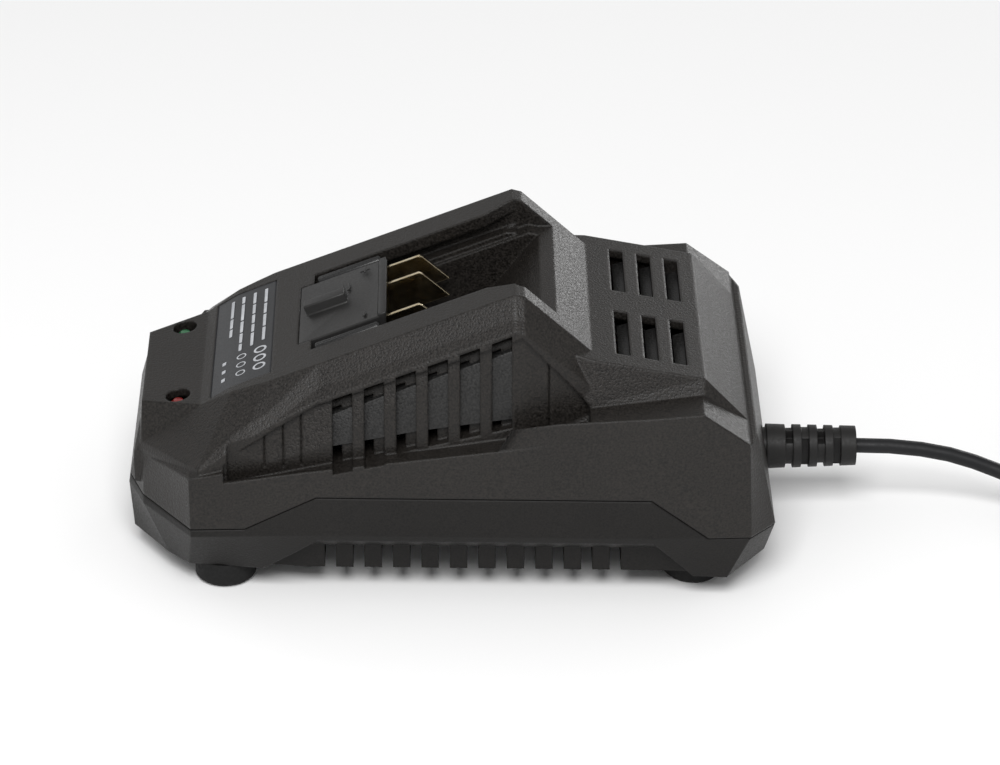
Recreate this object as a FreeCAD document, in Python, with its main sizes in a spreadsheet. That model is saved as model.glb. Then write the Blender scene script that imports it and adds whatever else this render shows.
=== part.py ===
import FreeCAD, Part
import math
import os
import re
import Sketcher

# Mains charger for a slide-on power tool battery, in millimetres.
# +X runs from the lamp end to the cord end, +Y to the far side, +Z up.
# The origin is on the table, under the middle of the housing.
# Half widths are measured from the middle plane, which the housing is symmetric about.

SIZES = {
    "housing": {
        "wall": 2.4, "half_length": 91.0, "parting_gap": 0.4,
        "slope": 21.4, "apex_x": 19.7, "apex_z": 89.4, "apex_flat": 1.4, "descent": 43.0,
        "top_half": 31.5, "facet_out": 5.0, "facet_drop": 4.9, "band_out": 3.0, "band_drop": 2.3,
        "skirt_half": 44.5, "form_floor": 26.0, "descent_run": 25.0,
    },
    "lamp end": {
        "nose_x": -88.8, "nose_half": 17.0, "nose_z": 37.0,
        "lip_x": -86.9, "lip_half": 18.5, "lip_z": 43.3,
        "panel_front_x": -86.2, "panel_front_half": 19.6, "panel_front_z": 49.2,
        "panel_rear_x": -69.5, "panel_rear_half": 26.8, "panel_rear_z": 52.0,
        "crease_half": 24.6, "crease_z": 38.9, "corner_half": 46.6, "corner_z": 42.6,
        "swell_x": -60.5, "swell_half": 29.4, "swell_z": 57.7, "swell_out": 12.6, "swell_drop": 7.3,
        "arch_x": -55.5, "arch_rise": 0.3,
        "brow_x": -50.0, "brow_out": 7.4, "brow_drop": 5.6, "flank_x": -36.0,
        "lamp_x": -76.0, "lamp_half": 19.5, "lamp_hole": 3.5,
    },
    "cord end": {
        "deck_x": 39.6, "deck_z": 71.0, "deck_end_x": 70.8, "deck_end_z": 64.8,
        "deck_lap": 8.0, "deck_tuck": 2.5, "deck_lift": 1.6, "deck_half": 36.6, "deck_out": 5.0, "deck_drop": 11.4, "deck_end_out": 2.2, "deck_end_drop": 3.8,
        "tail_x": 82.8, "tail_z": 51.4, "tail_half": 36.0, "seam_width": 0.9, "seam_depth": 0.9,
        "vent_x": 46.4, "vent_pitch": 7.9, "vent_width": 3.9, "vent_inner": 5.9, "vent_length": 24.6,
    },
    "belt": {
        "bow_half": 18.0, "cheek_x": 86.3, "cheek_half": 30.0,
        "shoulder_x": 72.0, "shoulder_half": 48.4, "waist_x": 40.0, "waist_half": 48.0,
        "hip_x": 56.0, "hip_half": 51.2, "stern_x": 83.8, "stern_half": 50.4, "transom_half": 43.0,
        "belt_mid": 22.0, "base_z": 7.5, "belt_top": 62.0,
        "top_draft": 0.7, "end_draft": 8.0, "bow_taper": 8.0, "cheek_taper": 14.0,
        "base_bow_x": 90.0, "base_cheek_x": 79.4, "base_cheek_half": 33.0,
        "base_toe_x": 73.5, "base_toe_half": 39.0, "base_waist_half": 43.8, "base_hip_half": 47.0,
        "base_stern_x": 77.5, "base_stern_half": 48.5, "base_transom_x": 89.0, "base_transom_half": 33.5,
    },
    "ledge": {
        "ledge_nose": 35.2, "ledge_shoulder": 40.6, "ledge_foot": 41.4, "ledge_mid": 52.8,
        "ledge_rise": 58.2, "ledge_rear": 61.0, "ledge_tail": 50.6,
        "ledge_foot_x": -66.0, "ledge_mid_x": -8.0, "ledge_rise_x": 30.0, "ledge_rear_x": 70.0,
        "channel_front": -61.5, "channel_rear": 33.0, "channel_half": 46.6, "channel_depth": 5.0,
    },
    "parting line": {
        "part_mid": 33.8, "part_front": 24.0, "front_dip_in": -57.0,
        "front_rise": -37.0, "rear_fall": 56.0, "rear_dip": 72.0, "cord_z": 21.3,
    },
    "side vents": {
        "rib_first": -33.9, "rib_pitch": 8.83, "rib_width": 3.3, "rib_count": 7.0,
        "panel_depth": 1.3, "bay_depth": 3.6, "panel_gap": 1.0, "slot_width": 2.5, "slot_drop": 4.5,
        "panel_foot_x": -62.5, "panel_foot_z": 43.4, "panel_rise_x": -50.6, "panel_rise_z": 51.4,
        "panel_brow_x": -36.6, "panel_end_x": 20.4, "panel_end_z": 79.6, "panel_heel_x": 38.8, "panel_heel_z": 59.0,
        "score_width": 0.5, "score_depth": 0.5, "score_low_x": -51.4, "score_mid_x": -46.2, "score_high_x": -41.2,
        "score_rear_x": 27.4,
    },
    "base vents": {
        "tooth_first": -33.6, "tooth_pitch": 8.0, "tooth_gap": 3.1, "tooth_count": 11.0,
        "tooth_top": 14.9, "tooth_reach": 28.0, "bevel_top": 20.2, "bevel_depth": 2.6, "sill_half": 36.5,
        "bevel_front": -54.0, "bevel_front_in": -36.5, "bevel_rear_in": 56.2, "bevel_rear": 69.0,
    },
    "battery bay": {
        "bay_half": 21.8, "rail_thick": 3.8, "groove_half": 25.6, "groove_tall": 4.0, "tray_depth": 9.6,
        "block_front": -66.4, "block_rear": -39.8, "block_half": 16.4, "moat_front": -62.3,
        "groove_front": -44.0, "leadin_x": 10.6, "well_half": 20.6, "well_floor": 56.0, "well_front_x": -46.0,
        "ramp_low_x": 7.7, "ramp_mid_x": 22.9, "ramp_mid_z": 76.5, "bulkhead_x": 25.8, "bulkhead_z": 79.8,
        "lip_width": 2.4, "lip_rise": 0.7, "key_front": -64.0, "key_long": 12.4, "key_half": 1.9, "key_rise": 3.2,
    },
    "blades": {
        "blade_thick": 0.9, "blade_positive_y": -14.2, "blade_sense_y": 4.2, "blade_negative_y": 14.2,
        "blade_top": 1.5, "blade_tip": -25.2, "blade_bottom": 11.5, "blade_round": 0.8, "blade_slant": 4.6,
        "blade_leg_x": -27.0, "blade_leg_width": 3.0, "blade_leg_end": 48.0,
    },
    "label": {"label_front": -66.6, "label_rear": -49.4, "label_half": 26.6, "label_thick": 0.4, "label_sink": 0.15},
    "feet": {
        "foot_front_x": -63.6, "foot_rear_x": 68.9, "foot_half": 32.2, "foot_radius": 8.6,
        "foot_round": 1.2, "spigot_radius": 5.0, "spigot_tall": 1.6,
        "post_radius": 6.5, "screw_radius": 1.75, "screw_head_radius": 3.4, "screw_head_tall": 2.4,
        "screw_bite": 10.0, "post_joint": 20.0, "fit": 0.05,
    },
    "main board": {
        "board_front": -54.0, "board_rear": 60.0, "board_half": 33.0, "board_z": 15.2, "board_thick": 1.6,
        "boss_radius": 3.5, "boss_inset": 5.0, "board_screw_radius": 1.25, "board_screw_head": 2.6,
        "board_screw_long": 5.0,
    },
    "transformer": {
        "core_x": 10.0, "core_long": 34.0, "core_wide": 12.0, "core_tall": 30.0, "core_leg": 10.0,
        "core_yoke": 5.2, "coil_fill": 0.3, "coil_out": 6.4, "bobbin_tall": 3.0,
    },
    "capacitors": {
        "bulk_x": 40.0, "bulk_y": -16.0, "bulk_radius": 9.0, "bulk_tall": 31.5,
        "output_x": -27.0, "output_y": -20.0, "output_radius": 5.0, "output_tall": 20.0, "output_pitch": 12.0,
        "filter_x": 52.0, "filter_y": 10.0, "filter_long": 6.0, "filter_wide": 17.5, "filter_tall": 12.0,
    },
    "power parts": {
        "sink_thick": 2.0, "sink_tall": 28.0, "sink_long": 36.0, "switch_sink_x": 32.0, "switch_sink_y": 24.0,
        "diode_sink_x": -28.0, "diode_sink_y": 24.0, "package_wide": 10.0, "package_tall": 15.0,
        "package_thick": 4.4, "package_lift": 6.0, "lead_radius": 0.4, "lead_pitch": 2.54,
        "bridge_x": 34.0, "bridge_y": 8.0, "bridge_long": 14.6, "bridge_thick": 3.6, "bridge_tall": 12.0,
        "choke_x": -41.0, "choke_y": -14.0, "choke_radius": 8.0, "choke_hole": 3.4, "choke_thick": 6.5,
        "fuse_x": 40.0, "fuse_y": -29.0, "fuse_radius": 2.6, "fuse_long": 15.0, "fuse_cap": 4.0,
        "chip_x": -4.0, "chip_y": -25.0, "chip_long": 9.6, "chip_wide": 6.4, "chip_tall": 3.4,
        "coupler_x": 8.0, "coupler_y": -25.0, "coupler_long": 4.8,
    },
    "lamp board": {
        "lamp_radius": 2.5, "lamp_flange": 2.9, "lamp_tall": 8.6, "lamp_board_z": 39.6, "lamp_board_thick": 1.6,
        "lamp_board_long": 8.0, "lamp_board_half": 23.0, "lamp_post_half": 9.0, "lamp_post_radius": 3.0,
        "ribbon_wide": 6.0, "ribbon_thick": 0.9,
    },
    "mains lead": {
        "cord_radius": 2.2, "relief_stand": 0.2, "relief_long": 26.0, "ring_offset": 7.8, "ring_pitch": 4.6,
        "ring_width": 2.4, "relief_root": 6.5, "relief_tip": 5.7,
        "relief_core": 5.5, "collar_radius": 7.4, "collar_thick": 2.2, "collar_set": 1.4, "tail_inset": 18.0,
        "clamp_inset": 13.5, "clamp_long": 6.0, "clamp_half": 11.0, "clamp_tall": 3.0, "clamp_screw_half": 7.6,
        "wire_radius": 0.9, "wire_half": 1.2, "wire_land_x": 57.5, "wire_land_half": 5.0,
        "window_half": 4.2, "window_web": 0.7, "window_floor": 2.9,
        "coil_x": 212.0, "coil_y": 24.0, "coil_inner": 15.4, "coil_outer": 37.4, "coil_tall": 8.8,
        "boot_radius": 3.5, "boot_long": 20.5, "plug_axis_z": 6.9, "plug_wide": 35.3, "plug_thick": 13.7,
        "plug_long": 36.0, "plug_waist": 9.0, "pin_radius": 2.0, "pin_long": 19.0, "pin_pitch": 18.6,
    },
}

# Route of the free lead from the strain relief to the coil, chosen by hand.
CORD_ROUTE = [
    (117.0, 0.0, 21.3),
    (138.0, 0.0, 21.3),
    (165.0, -4.5, 12.4),
    (190.0, -15.2, 3.4),
    (212.0, -15.6, 2.3),
]

ALIASES = [alias for entries in SIZES.values() for alias in entries]
WORD = re.compile(r"[a-z][a-z_0-9]*")
SUB_PARTS = []


def fill_sheet(document):
    """Writes each size into the sheet under its own name."""
    book = document.addObject("Spreadsheet::Sheet", "Sizes")
    row = 1
    for group, entries in SIZES.items():
        book.set("A%d" % row, group)
        row += 1
        for alias, number in entries.items():
            book.set("A%d" % row, alias)
            book.set("B%d" % row, str(number))
            book.setAlias("B%d" % row, alias)
            row += 1
    document.recompute()
    return book


doc = FreeCAD.newDocument("BatteryCharger")
sheet = fill_sheet(doc)


def bound(text):
    """Turns size names in a formula into references to the sheet."""
    return WORD.sub(lambda word: "Sizes." + word.group() if word.group() in ALIASES else word.group(), str(text))


def value(text):
    """Works out a formula of size names as a plain number."""
    return float(sheet.evalExpression(bound(text)))


def bind(item, prop, text):
    item.setExpression(prop, bound(text))


def sub_part(item, label):
    """Names a finished piece, which is written to a file of that name."""
    item.Label = label
    SUB_PARTS.append(item)
    return item


def place(item, x="0", y="0", z="0"):
    bind(item, "Placement.Base.x", x)
    bind(item, "Placement.Base.y", y)
    bind(item, "Placement.Base.z", z)
    return item


def turn(item, axis, angle):
    item.Placement = FreeCAD.Placement(FreeCAD.Vector(), FreeCAD.Rotation(FreeCAD.Vector(*axis), 90))
    bind(item, "Placement.Rotation.Angle", angle)
    return item


def box(name, low, size):
    """A block from its low corner and its three lengths."""
    item = doc.addObject("Part::Box", name)
    for prop, text in zip(("Length", "Width", "Height"), size):
        bind(item, prop, text)
    return place(item, *low)


def cylinder(name, base, radius, height, axis="Z"):
    item = doc.addObject("Part::Cylinder", name)
    bind(item, "Radius", radius)
    bind(item, "Height", height)
    if axis == "X":
        turn(item, (0, 1, 0), "90")
    if axis == "Y":
        turn(item, (1, 0, 0), "-90")
    return place(item, *base)


def fuse(name, *items):
    item = doc.addObject("Part::MultiFuse", name)
    item.Shapes = list(items)
    item.Refine = True
    return item


def cut(name, base, *tools):
    item = doc.addObject("Part::Cut", name)
    item.Base = base
    item.Tool = tools[0] if len(tools) == 1 else fuse(name + "Tool", *tools)
    item.Refine = True
    return item


def common(name, first, second):
    item = doc.addObject("Part::MultiCommon", name)
    item.Shapes = [first, second]
    item.Refine = True
    return item


def mirrored(name, source):
    """The same shape on the other side of the middle plane."""
    item = doc.addObject("Part::Mirroring", name)
    item.Source = source
    item.Normal = FreeCAD.Vector(0, 1, 0)
    return item


def both_sides(name, source):
    return fuse(name, source, mirrored(name + "Twin", source))


def sketch_on(body, name, role, height="0"):
    """An empty sketch on one of the body's own planes, raised by a formula."""
    sketch = body.newObject("Sketcher::SketchObject", name)
    plane = [feature for feature in body.Origin.OriginFeatures if feature.Role == role][0]
    sketch.AttachmentSupport = [(plane, "")]
    sketch.MapMode = "FlatFace"
    bind(sketch, "AttachmentOffset.Base.z", height)
    return sketch


def draw_polygon(sketch, points):
    """Draws a closed outline whose corners follow pairs of formulas."""
    corners = [FreeCAD.Vector(value(x), value(y), 0) for x, y in points]
    count = len(corners)
    first = sketch.GeometryCount
    for index in range(count):
        line = Part.LineSegment(corners[index], corners[(index + 1) % count])
        sketch.addGeometry(line, False)
    for index in range(count):
        following = first + (index + 1) % count
        sketch.addConstraint(Sketcher.Constraint("Coincident", first + index, 2, following, 1))
    for index, (x, y) in enumerate(points):
        for kind, text, number in (("DistanceX", x, corners[index].x), ("DistanceY", y, corners[index].y)):
            place_in_list = sketch.addConstraint(Sketcher.Constraint(kind, -1, 1, first + index, 1, number))
            sketch.setExpression("Constraints[%d]" % place_in_list, bound(text))


def side_pad(name, points, half):
    """An outline in X and Z, as thick as twice the half width, about the middle plane."""
    body = doc.addObject("PartDesign::Body", name)
    sketch = sketch_on(body, name + "Outline", "XZ_Plane")
    draw_polygon(sketch, points)
    pad = body.newObject("PartDesign::Pad", name + "Pad")
    pad.Profile = sketch
    pad.SideType = "Symmetric"
    bind(pad, "Length", "2 * (%s)" % half)
    return body


def side_slice(name, points, low, high):
    """An outline in X and Z that spans from one Y to another."""
    body = doc.addObject("PartDesign::Body", name)
    sketch = sketch_on(body, name + "Outline", "XZ_Plane", "-(%s)" % high)
    draw_polygon(sketch, points)
    pad = body.newObject("PartDesign::Pad", name + "Pad")
    pad.Profile = sketch
    bind(pad, "Length", "(%s) - (%s)" % (high, low))
    return body


def plan_pad(name, points, low, high):
    """An outline in X and Y that spans from one height to another."""
    body = doc.addObject("PartDesign::Body", name)
    sketch = sketch_on(body, name + "Outline", "XY_Plane", low)
    draw_polygon(sketch, points)
    pad = body.newObject("PartDesign::Pad", name + "Pad")
    pad.Profile = sketch
    bind(pad, "Length", "(%s) - (%s)" % (high, low))
    return body


def turned(name, points, axis="Z"):
    """A round piece from its half outline: along the axis first, then the radius."""
    body = doc.addObject("PartDesign::Body", name)
    sketch = sketch_on(body, name + "Outline", "XZ_Plane")
    swap = axis == "Z"
    draw_polygon(sketch, [(radius, along) if swap else (along, radius) for along, radius in points])
    spin = body.newObject("PartDesign::Revolution", name + "Turn")
    spin.Profile = sketch
    spin.ReferenceAxis = (sketch, ["V_Axis" if swap else "H_Axis"])
    spin.Angle = 360
    return body


def on_slope(along, out):
    """The X and Z of a point given along the battery slope from the apex, and out of its surface."""
    x = "apex_x + (%s) * cos(slope) - (%s) * sin(slope)" % (along, out)
    z = "apex_z + (%s) * sin(slope) + (%s) * cos(slope)" % (along, out)
    return x, z


def slope_strip(front, rear, low, high):
    """The four corners of a strip that follows the battery slope."""
    return [on_slope(front, low), on_slope(rear, low), on_slope(rear, high), on_slope(front, high)]


def slope_z(x):
    return "(apex_z - (apex_x - (%s)) * tan(slope))" % x


def outline(half_points):
    """Mirrors the points of one side to close a plan outline."""
    far = [(x, "-(%s)" % y) for x, y in reversed(half_points)]
    return half_points + far


def belt_mid(inset):
    points = [
        ("-half_length + {i}", "-bow_half + {i} * 0.1"),
        ("-cheek_x + {i} * 0.9", "-cheek_half + {i} * 0.4"),
        ("-shoulder_x + {i} * 0.4", "-shoulder_half + {i}"),
        ("-waist_x", "-waist_half + {i}"),
        ("hip_x", "-hip_half + {i}"),
        ("stern_x - {i} * 0.4", "-stern_half + {i}"),
        ("half_length - {i}", "-transom_half + {i} * 0.4"),
    ]
    return outline([(x.format(i=inset), y.format(i=inset)) for x, y in points])


def belt_high(inset):
    points = [
        ("-half_length + end_draft + {i}", "-bow_half + bow_taper + {i} * 0.1"),
        ("-cheek_x + top_draft + {i} * 0.9", "-cheek_half + cheek_taper + {i} * 0.4"),
        ("-shoulder_x + {i} * 0.4", "-shoulder_half + top_draft + {i}"),
        ("-waist_x", "-waist_half + top_draft + {i}"),
        ("hip_x", "-hip_half + top_draft + {i}"),
        ("stern_x - 2 * top_draft - {i} * 0.4", "-stern_half + top_draft + {i}"),
        ("half_length - end_draft - {i}", "-transom_half + top_draft + {i} * 0.4"),
    ]
    return outline([(x.format(i=inset), y.format(i=inset)) for x, y in points])


def belt_low(inset):
    points = [
        ("-base_bow_x + {i}", "-bow_half + {i} * 0.1"),
        ("-base_cheek_x + {i} * 0.9", "-base_cheek_half + {i} * 0.4"),
        ("-base_toe_x + {i} * 0.6", "-base_toe_half + {i} * 0.8"),
        ("-waist_x", "-base_waist_half + {i}"),
        ("hip_x", "-base_hip_half + {i}"),
        ("base_stern_x - {i} * 0.4", "-base_stern_half + {i}"),
        ("base_transom_x - {i}", "-base_transom_half + {i} * 0.4"),
    ]
    return outline([(x.format(i=inset), y.format(i=inset)) for x, y in points])


def belt_loft(name, inset, floor):
    """The lower, wider body: straight facets between three plan outlines."""
    body = doc.addObject("PartDesign::Body", name)
    low = sketch_on(body, name + "Low", "XY_Plane", floor)
    draw_polygon(low, belt_low(inset))
    mid = sketch_on(body, name + "Mid", "XY_Plane", "belt_mid")
    draw_polygon(mid, belt_mid(inset))
    high = sketch_on(body, name + "High", "XY_Plane", "belt_top")
    draw_polygon(high, belt_high(inset))
    loft = body.newObject("PartDesign::AdditiveLoft", name + "Loft")
    loft.Profile = low
    loft.Sections = [mid, high]
    loft.Ruled = True
    return body


def ledge_points(drop):
    """The top edge of the belt, from the lamp end to the cord end."""
    places = [
        ("-half_length - wall", "ledge_nose"), ("-cheek_x", "ledge_nose"), ("-shoulder_x", "ledge_shoulder"),
        ("ledge_foot_x", "ledge_foot"), ("ledge_mid_x", "ledge_mid"), ("ledge_rise_x", "ledge_rise"),
        ("ledge_rear_x", "ledge_rear"), ("stern_x", "ledge_tail"), ("half_length + wall", "ledge_tail"),
    ]
    return [(x, "%s - (%s)" % (z, drop)) for x, z in places]


def below_ledge(name, drop):
    points = ledge_points(drop) + [("half_length + wall", "0"), ("-half_length - wall", "0")]
    return side_pad(name, points, "hip_half + wall")


def stations(inset):
    """Half cross sections of the raised part: place, then half width and height of four corners."""
    facet = ("top_half", "top_half + facet_out", "top_half + facet_out + band_out", "skirt_half")
    drops = ("0", "facet_drop", "facet_drop + band_drop")
    rows = [
        ("nose_x", [("nose_half", "nose_z"), ("crease_half - 1", "nose_z - 2"),
                    ("crease_half - 0.5", "nose_z - 3"), ("crease_half", "nose_z - 4")]),
        ("lip_x", [("lip_half", "lip_z"), ("crease_half - 0.4", "crease_z - 1"),
                   ("crease_half", "crease_z - 2"), ("crease_half + 0.6", "crease_z - 3")]),
        ("panel_front_x", [("panel_front_half", "panel_front_z"), ("crease_half", "crease_z"),
                           ("crease_half + 0.5", "crease_z - 1"), ("crease_half + 1", "crease_z - 2")]),
        ("panel_rear_x", [("panel_rear_half", "panel_rear_z"), ("corner_half", "corner_z"),
                          ("corner_half + 0.3", "corner_z - 0.6"), ("corner_half + 0.6", "corner_z - 1.6")]),
        ("swell_x", [("swell_half", "swell_z"), ("swell_half + swell_out", "swell_z - swell_drop"),
                     ("swell_half + swell_out + band_out", "swell_z - swell_drop - band_out"),
                     ("skirt_half + 1.3", "ledge_foot + 0.6")]),
        ("arch_x", [("(swell_half + top_half) / 2", slope_z("arch_x") + " + arch_rise - 0.4"),
                    ("(swell_half + top_half + swell_out + brow_out) / 2",
                     slope_z("arch_x") + " - (swell_drop + brow_drop) / 2"),
                    ("(swell_half + top_half + swell_out + brow_out) / 2 + band_out",
                     slope_z("arch_x") + " - (swell_drop + brow_drop) / 2 - band_out"),
                    ("skirt_half + 0.6", "ledge_foot + 2")]),
        ("brow_x", [("top_half", slope_z("brow_x")), ("top_half + brow_out", slope_z("brow_x") + " - brow_drop"),
                    ("top_half + brow_out + band_out", slope_z("brow_x") + " - brow_drop - band_out"),
                    ("skirt_half", "ledge_foot + 3")]),
    ]
    for x in ("flank_x", "apex_x - apex_flat"):
        corners = [(facet[k], slope_z(x) + " - (%s)" % drops[k]) for k in range(3)]
        rows.append((x, corners + [(facet[3], "ledge_mid - 4")]))
    for x, run in (("apex_x + apex_flat", "apex_flat"), ("apex_x + descent_run", "descent_run")):
        fall = "(apex_z - %s * tan(descent))" % run
        corners = [(facet[k], fall + " - (%s)" % drops[k]) for k in range(3)]
        rows.append((x, corners + [(facet[3], "ledge_mid - 4")]))
    return [(x, [("%s - (%s)" % (y, inset), "%s - 1.1 * (%s)" % (z, inset)) for y, z in corners])
            for x, corners in rows]


def deck_stations(inset):
    """Half cross sections of the vented deck at the cord end."""
    rows = [
        ("deck_x - deck_lap", [
            ("deck_half - deck_tuck", "deck_z + deck_lift"), ("deck_half + deck_out - deck_tuck", "deck_z - deck_drop + deck_lift"),
            ("deck_half + deck_out - deck_tuck + 0.2", "deck_z - deck_drop + deck_lift - 1"),
            ("deck_half + deck_out - deck_tuck + 0.4", "ledge_rise - 4")]),
        ("deck_x", [("deck_half", "deck_z"), ("deck_half + deck_out", "deck_z - deck_drop"),
                    ("deck_half + deck_out + 0.2", "deck_z - deck_drop - 1"),
                    ("deck_half + deck_out + 0.4", "ledge_rise - 4")]),
        ("deck_end_x", [("deck_half", "deck_end_z"), ("deck_half + deck_end_out", "deck_end_z - deck_end_drop"),
                        ("deck_half + deck_end_out + 0.2", "deck_end_z - deck_end_drop - 1"),
                        ("deck_half + deck_end_out + 0.4", "ledge_rise - 4")]),
        ("tail_x", [("tail_half", "tail_z"), ("tail_half + 0.5", "tail_z - 1"),
                    ("tail_half + 0.7", "tail_z - 2"), ("tail_half + 0.9", "tail_z - 3")]),
    ]
    return [(x, [("%s - (%s)" % (y, inset), "%s - 1.1 * (%s)" % (z, inset)) for y, z in corners])
            for x, corners in rows]


def half_ring(x, corners, floor):
    """The closed outline of one half cross section, as points."""
    pairs = [(0.0, value(corners[0][1]))] + [(value(y), value(z)) for y, z in corners]
    pairs += [(pairs[-1][0], value(floor)), (0.0, value(floor))]
    return [FreeCAD.Vector(x, -y, z) for y, z in pairs]


def flat_face(points):
    return Part.Face(Part.makePolygon(points + [points[0]]))


def skin_between(near, far):
    """Flat facets between two neighbouring cross sections."""
    faces = []
    count = len(near)
    for index in range(count):
        following = (index + 1) % count
        a, b, c, d = near[index], near[following], far[following], far[index]
        level = abs((b - a).cross(d - a).dot(c - a)) < 1e-6
        if level:
            faces.append(flat_face([a, b, c, d]))
        else:
            faces.append(flat_face([a, b, d]))
            faces.append(flat_face([b, c, d]))
    return faces


def faceted_form(name, rows, inset, floor):
    """A symmetric solid of flat facets through half cross sections along X."""
    ends = [value(inset) if index == 0 else 0.0 for index in range(len(rows))]
    ends[-1] = -value(inset)
    rings = [half_ring(value(x) + ends[k], corners, floor) for k, (x, corners) in enumerate(rows)]
    faces = [flat_face(rings[0]), flat_face(rings[-1])]
    for near, far in zip(rings, rings[1:]):
        faces += skin_between(near, far)
    half = Part.makeSolid(Part.makeShell(faces))
    half.fix(1e-6, 1e-6, 1e-6)
    if half.Volume < 0:
        half.reverse()
    twin = half.mirror(FreeCAD.Vector(0, 0, 0), FreeCAD.Vector(0, 1, 0))
    item = doc.addObject("Part::Feature", name)
    item.Shape = half.fuse(twin).removeSplitter()
    return item


def housing_form():
    """The closed outer shape of both housings together."""
    belt = common("BeltForm", belt_loft("BeltLoft", "0", "base_z"), below_ledge("BeltTop", "0"))
    hump = faceted_form("HumpForm", stations("0"), "0", "form_floor")
    deck = faceted_form("DeckForm", deck_stations("0"), "0", "form_floor")
    return fuse("HousingForm", belt, hump, deck)


CORE_HALF = "top_half + facet_out + band_out - bay_depth - wall"


def housing_cavity():
    """The hollow that both housings leave inside."""
    depth = "wall + channel_depth"
    belt = common("BeltHollow", belt_loft("BeltHollowLoft", "wall", "base_z + wall"), below_ledge("BeltHollowTop", depth))
    hump = faceted_form("HumpHollow", stations("wall"), "wall", "form_floor")
    deck = faceted_form("DeckHollow", deck_stations("wall"), "wall", "form_floor")
    core = box("CoreLimit", ("-half_length", "-(%s)" % CORE_HALF, "0"), ("2 * half_length", "2 * (%s)" % CORE_HALF, "apex_z"))
    return fuse("HousingHollow", belt, common("CoreHollow", fuse("TallHollow", hump, deck), core))



def parting_points(lift):
    """The line where the two housings meet, dipping at both ends."""
    places = [
        ("-half_length - wall", "part_front"), ("front_dip_in", "part_front"), ("front_rise", "part_mid"),
        ("rear_fall", "part_mid"), ("rear_dip", "cord_z"), ("half_length + wall", "cord_z"),
    ]
    return [(x, "%s + %s" % (z, lift)) for x, z in places]


def row_of_boxes(name, count, low, size, pitch):
    """Equal blocks at an even pitch along X, as one object."""
    x, y, z = low
    pieces = [box("%s%d" % (name, k), ("%s + %d * (%s)" % (x, k, pitch), y, z), size) for k in range(count)]
    return fuse(name, *pieces)


def battery_bay():
    """The space that the battery slides into, with its rails' grooves and the well below them."""
    high = "apex_z + wall"
    block_x = on_slope("block_rear", "0")[0]
    moat_x = on_slope("moat_front", "0")[0]
    front_x = on_slope("block_front", "0")[0]
    tray_z = "(%s - tray_depth / cos(slope))"
    mouth = side_pad("BayMouth", [
        (block_x, tray_z % slope_z(block_x)), ("ramp_mid_x", tray_z % slope_z("ramp_mid_x")),
        ("bulkhead_x", "bulkhead_z"), ("deck_x", "bulkhead_z"), ("deck_x", high), (block_x, high)], "bay_half")
    entry = side_pad("BayEntry", [
        ("apex_x", tray_z % slope_z("apex_x")), ("ramp_mid_x", tray_z % slope_z("ramp_mid_x")),
        ("bulkhead_x", "bulkhead_z"), ("deck_x", "bulkhead_z"), ("deck_x", high), ("apex_x", high)], "groove_half")
    well = side_pad("BayWell", [
        (block_x, "well_floor"), ("ramp_low_x", "well_floor"), ("ramp_mid_x", "ramp_mid_z"),
        ("bulkhead_x", "bulkhead_z"), ("bulkhead_x", high), (block_x, high)], "well_half")
    moat = side_pad("BayMoat", [
        (moat_x, "well_floor"), (block_x, "well_floor"), (block_x, high), (moat_x, high)], "bay_half")
    seat = side_pad("BlockSeat", [
        (front_x, "well_floor"), (moat_x, "well_floor"), (moat_x, high), (front_x, high)], "block_half + fit")
    groove = side_pad("RailGroove", slope_strip(
        "groove_front", "descent_run", "-rail_thick - groove_tall", "-rail_thick"), "groove_half")
    lead_in = plan_pad("RailLeadIn", [
        ("leadin_x", "-bay_half"), ("apex_x", "-groove_half"), ("apex_x", "groove_half"), ("leadin_x", "bay_half")],
        "apex_z - tray_depth", high)
    return [mouth, entry, well, moat, seat, groove, lead_in]


def bay_walls(outer):
    """The thick walls around the battery bay, trimmed to the outer shape."""
    block = side_pad("BayWalls", [
        ("well_front_x", "well_floor - wall"), ("ramp_low_x + wall", "well_floor - wall"),
        ("bulkhead_x + wall", "ramp_mid_z"), ("deck_x", "deck_z - 2 * wall"), ("deck_x", "apex_z"),
        ("well_front_x", "apex_z")], "groove_half + wall")
    return common("BayBlock", block, outer)


def blade_legs_cut():
    """Holes in the bay floor for the legs of the three contact blades."""
    items = []
    for name in ("positive", "sense", "negative"):
        items.append(box("LegHole" + name, (
            "blade_leg_x - blade_leg_width / 2 - fit", "blade_%s_y - blade_thick / 2 - fit" % name,
            "well_floor - 2 * wall"), ("blade_leg_width + 2 * fit", "blade_thick + 2 * fit", "3 * wall")))
    return items


def panel_outline():
    """The outline of the sunk side panel, under the arch of the raised part."""
    band = "(facet_drop + band_drop + panel_gap)"
    return [
        ("panel_foot_x", "ledge_foot - wall"), ("panel_heel_x", "ledge_mid"), ("panel_heel_x", "panel_heel_z"),
        ("panel_end_x", "panel_end_z"), ("panel_brow_x", "%s - %s" % (slope_z("panel_brow_x"), band)),
        ("panel_rise_x", "panel_rise_z"), ("panel_foot_x", "panel_foot_z")]


def sunk(name, depth):
    """The raised part's shape, smaller all round by a depth."""
    return faceted_form(name, stations(depth), depth, "form_floor")


def bay_region(name, near, drop):
    """The stretch of the side panel that the ribs stand in."""
    first = "rib_first + rib_width / 2"
    last = "(rib_first + (rib_count - 1) * rib_pitch - rib_width / 2)"
    band = "(facet_drop + band_drop + panel_gap)"
    points = [(first, "ledge_foot"), (last, "ledge_mid"), (last, "%s - %s - %s" % (slope_z(last), band, drop)),
              (first, "%s - %s - %s" % (slope_z(first), band, drop))]
    return side_slice(name, points, "-skirt_half - 2 * wall", "-(%s)" % near)


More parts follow.
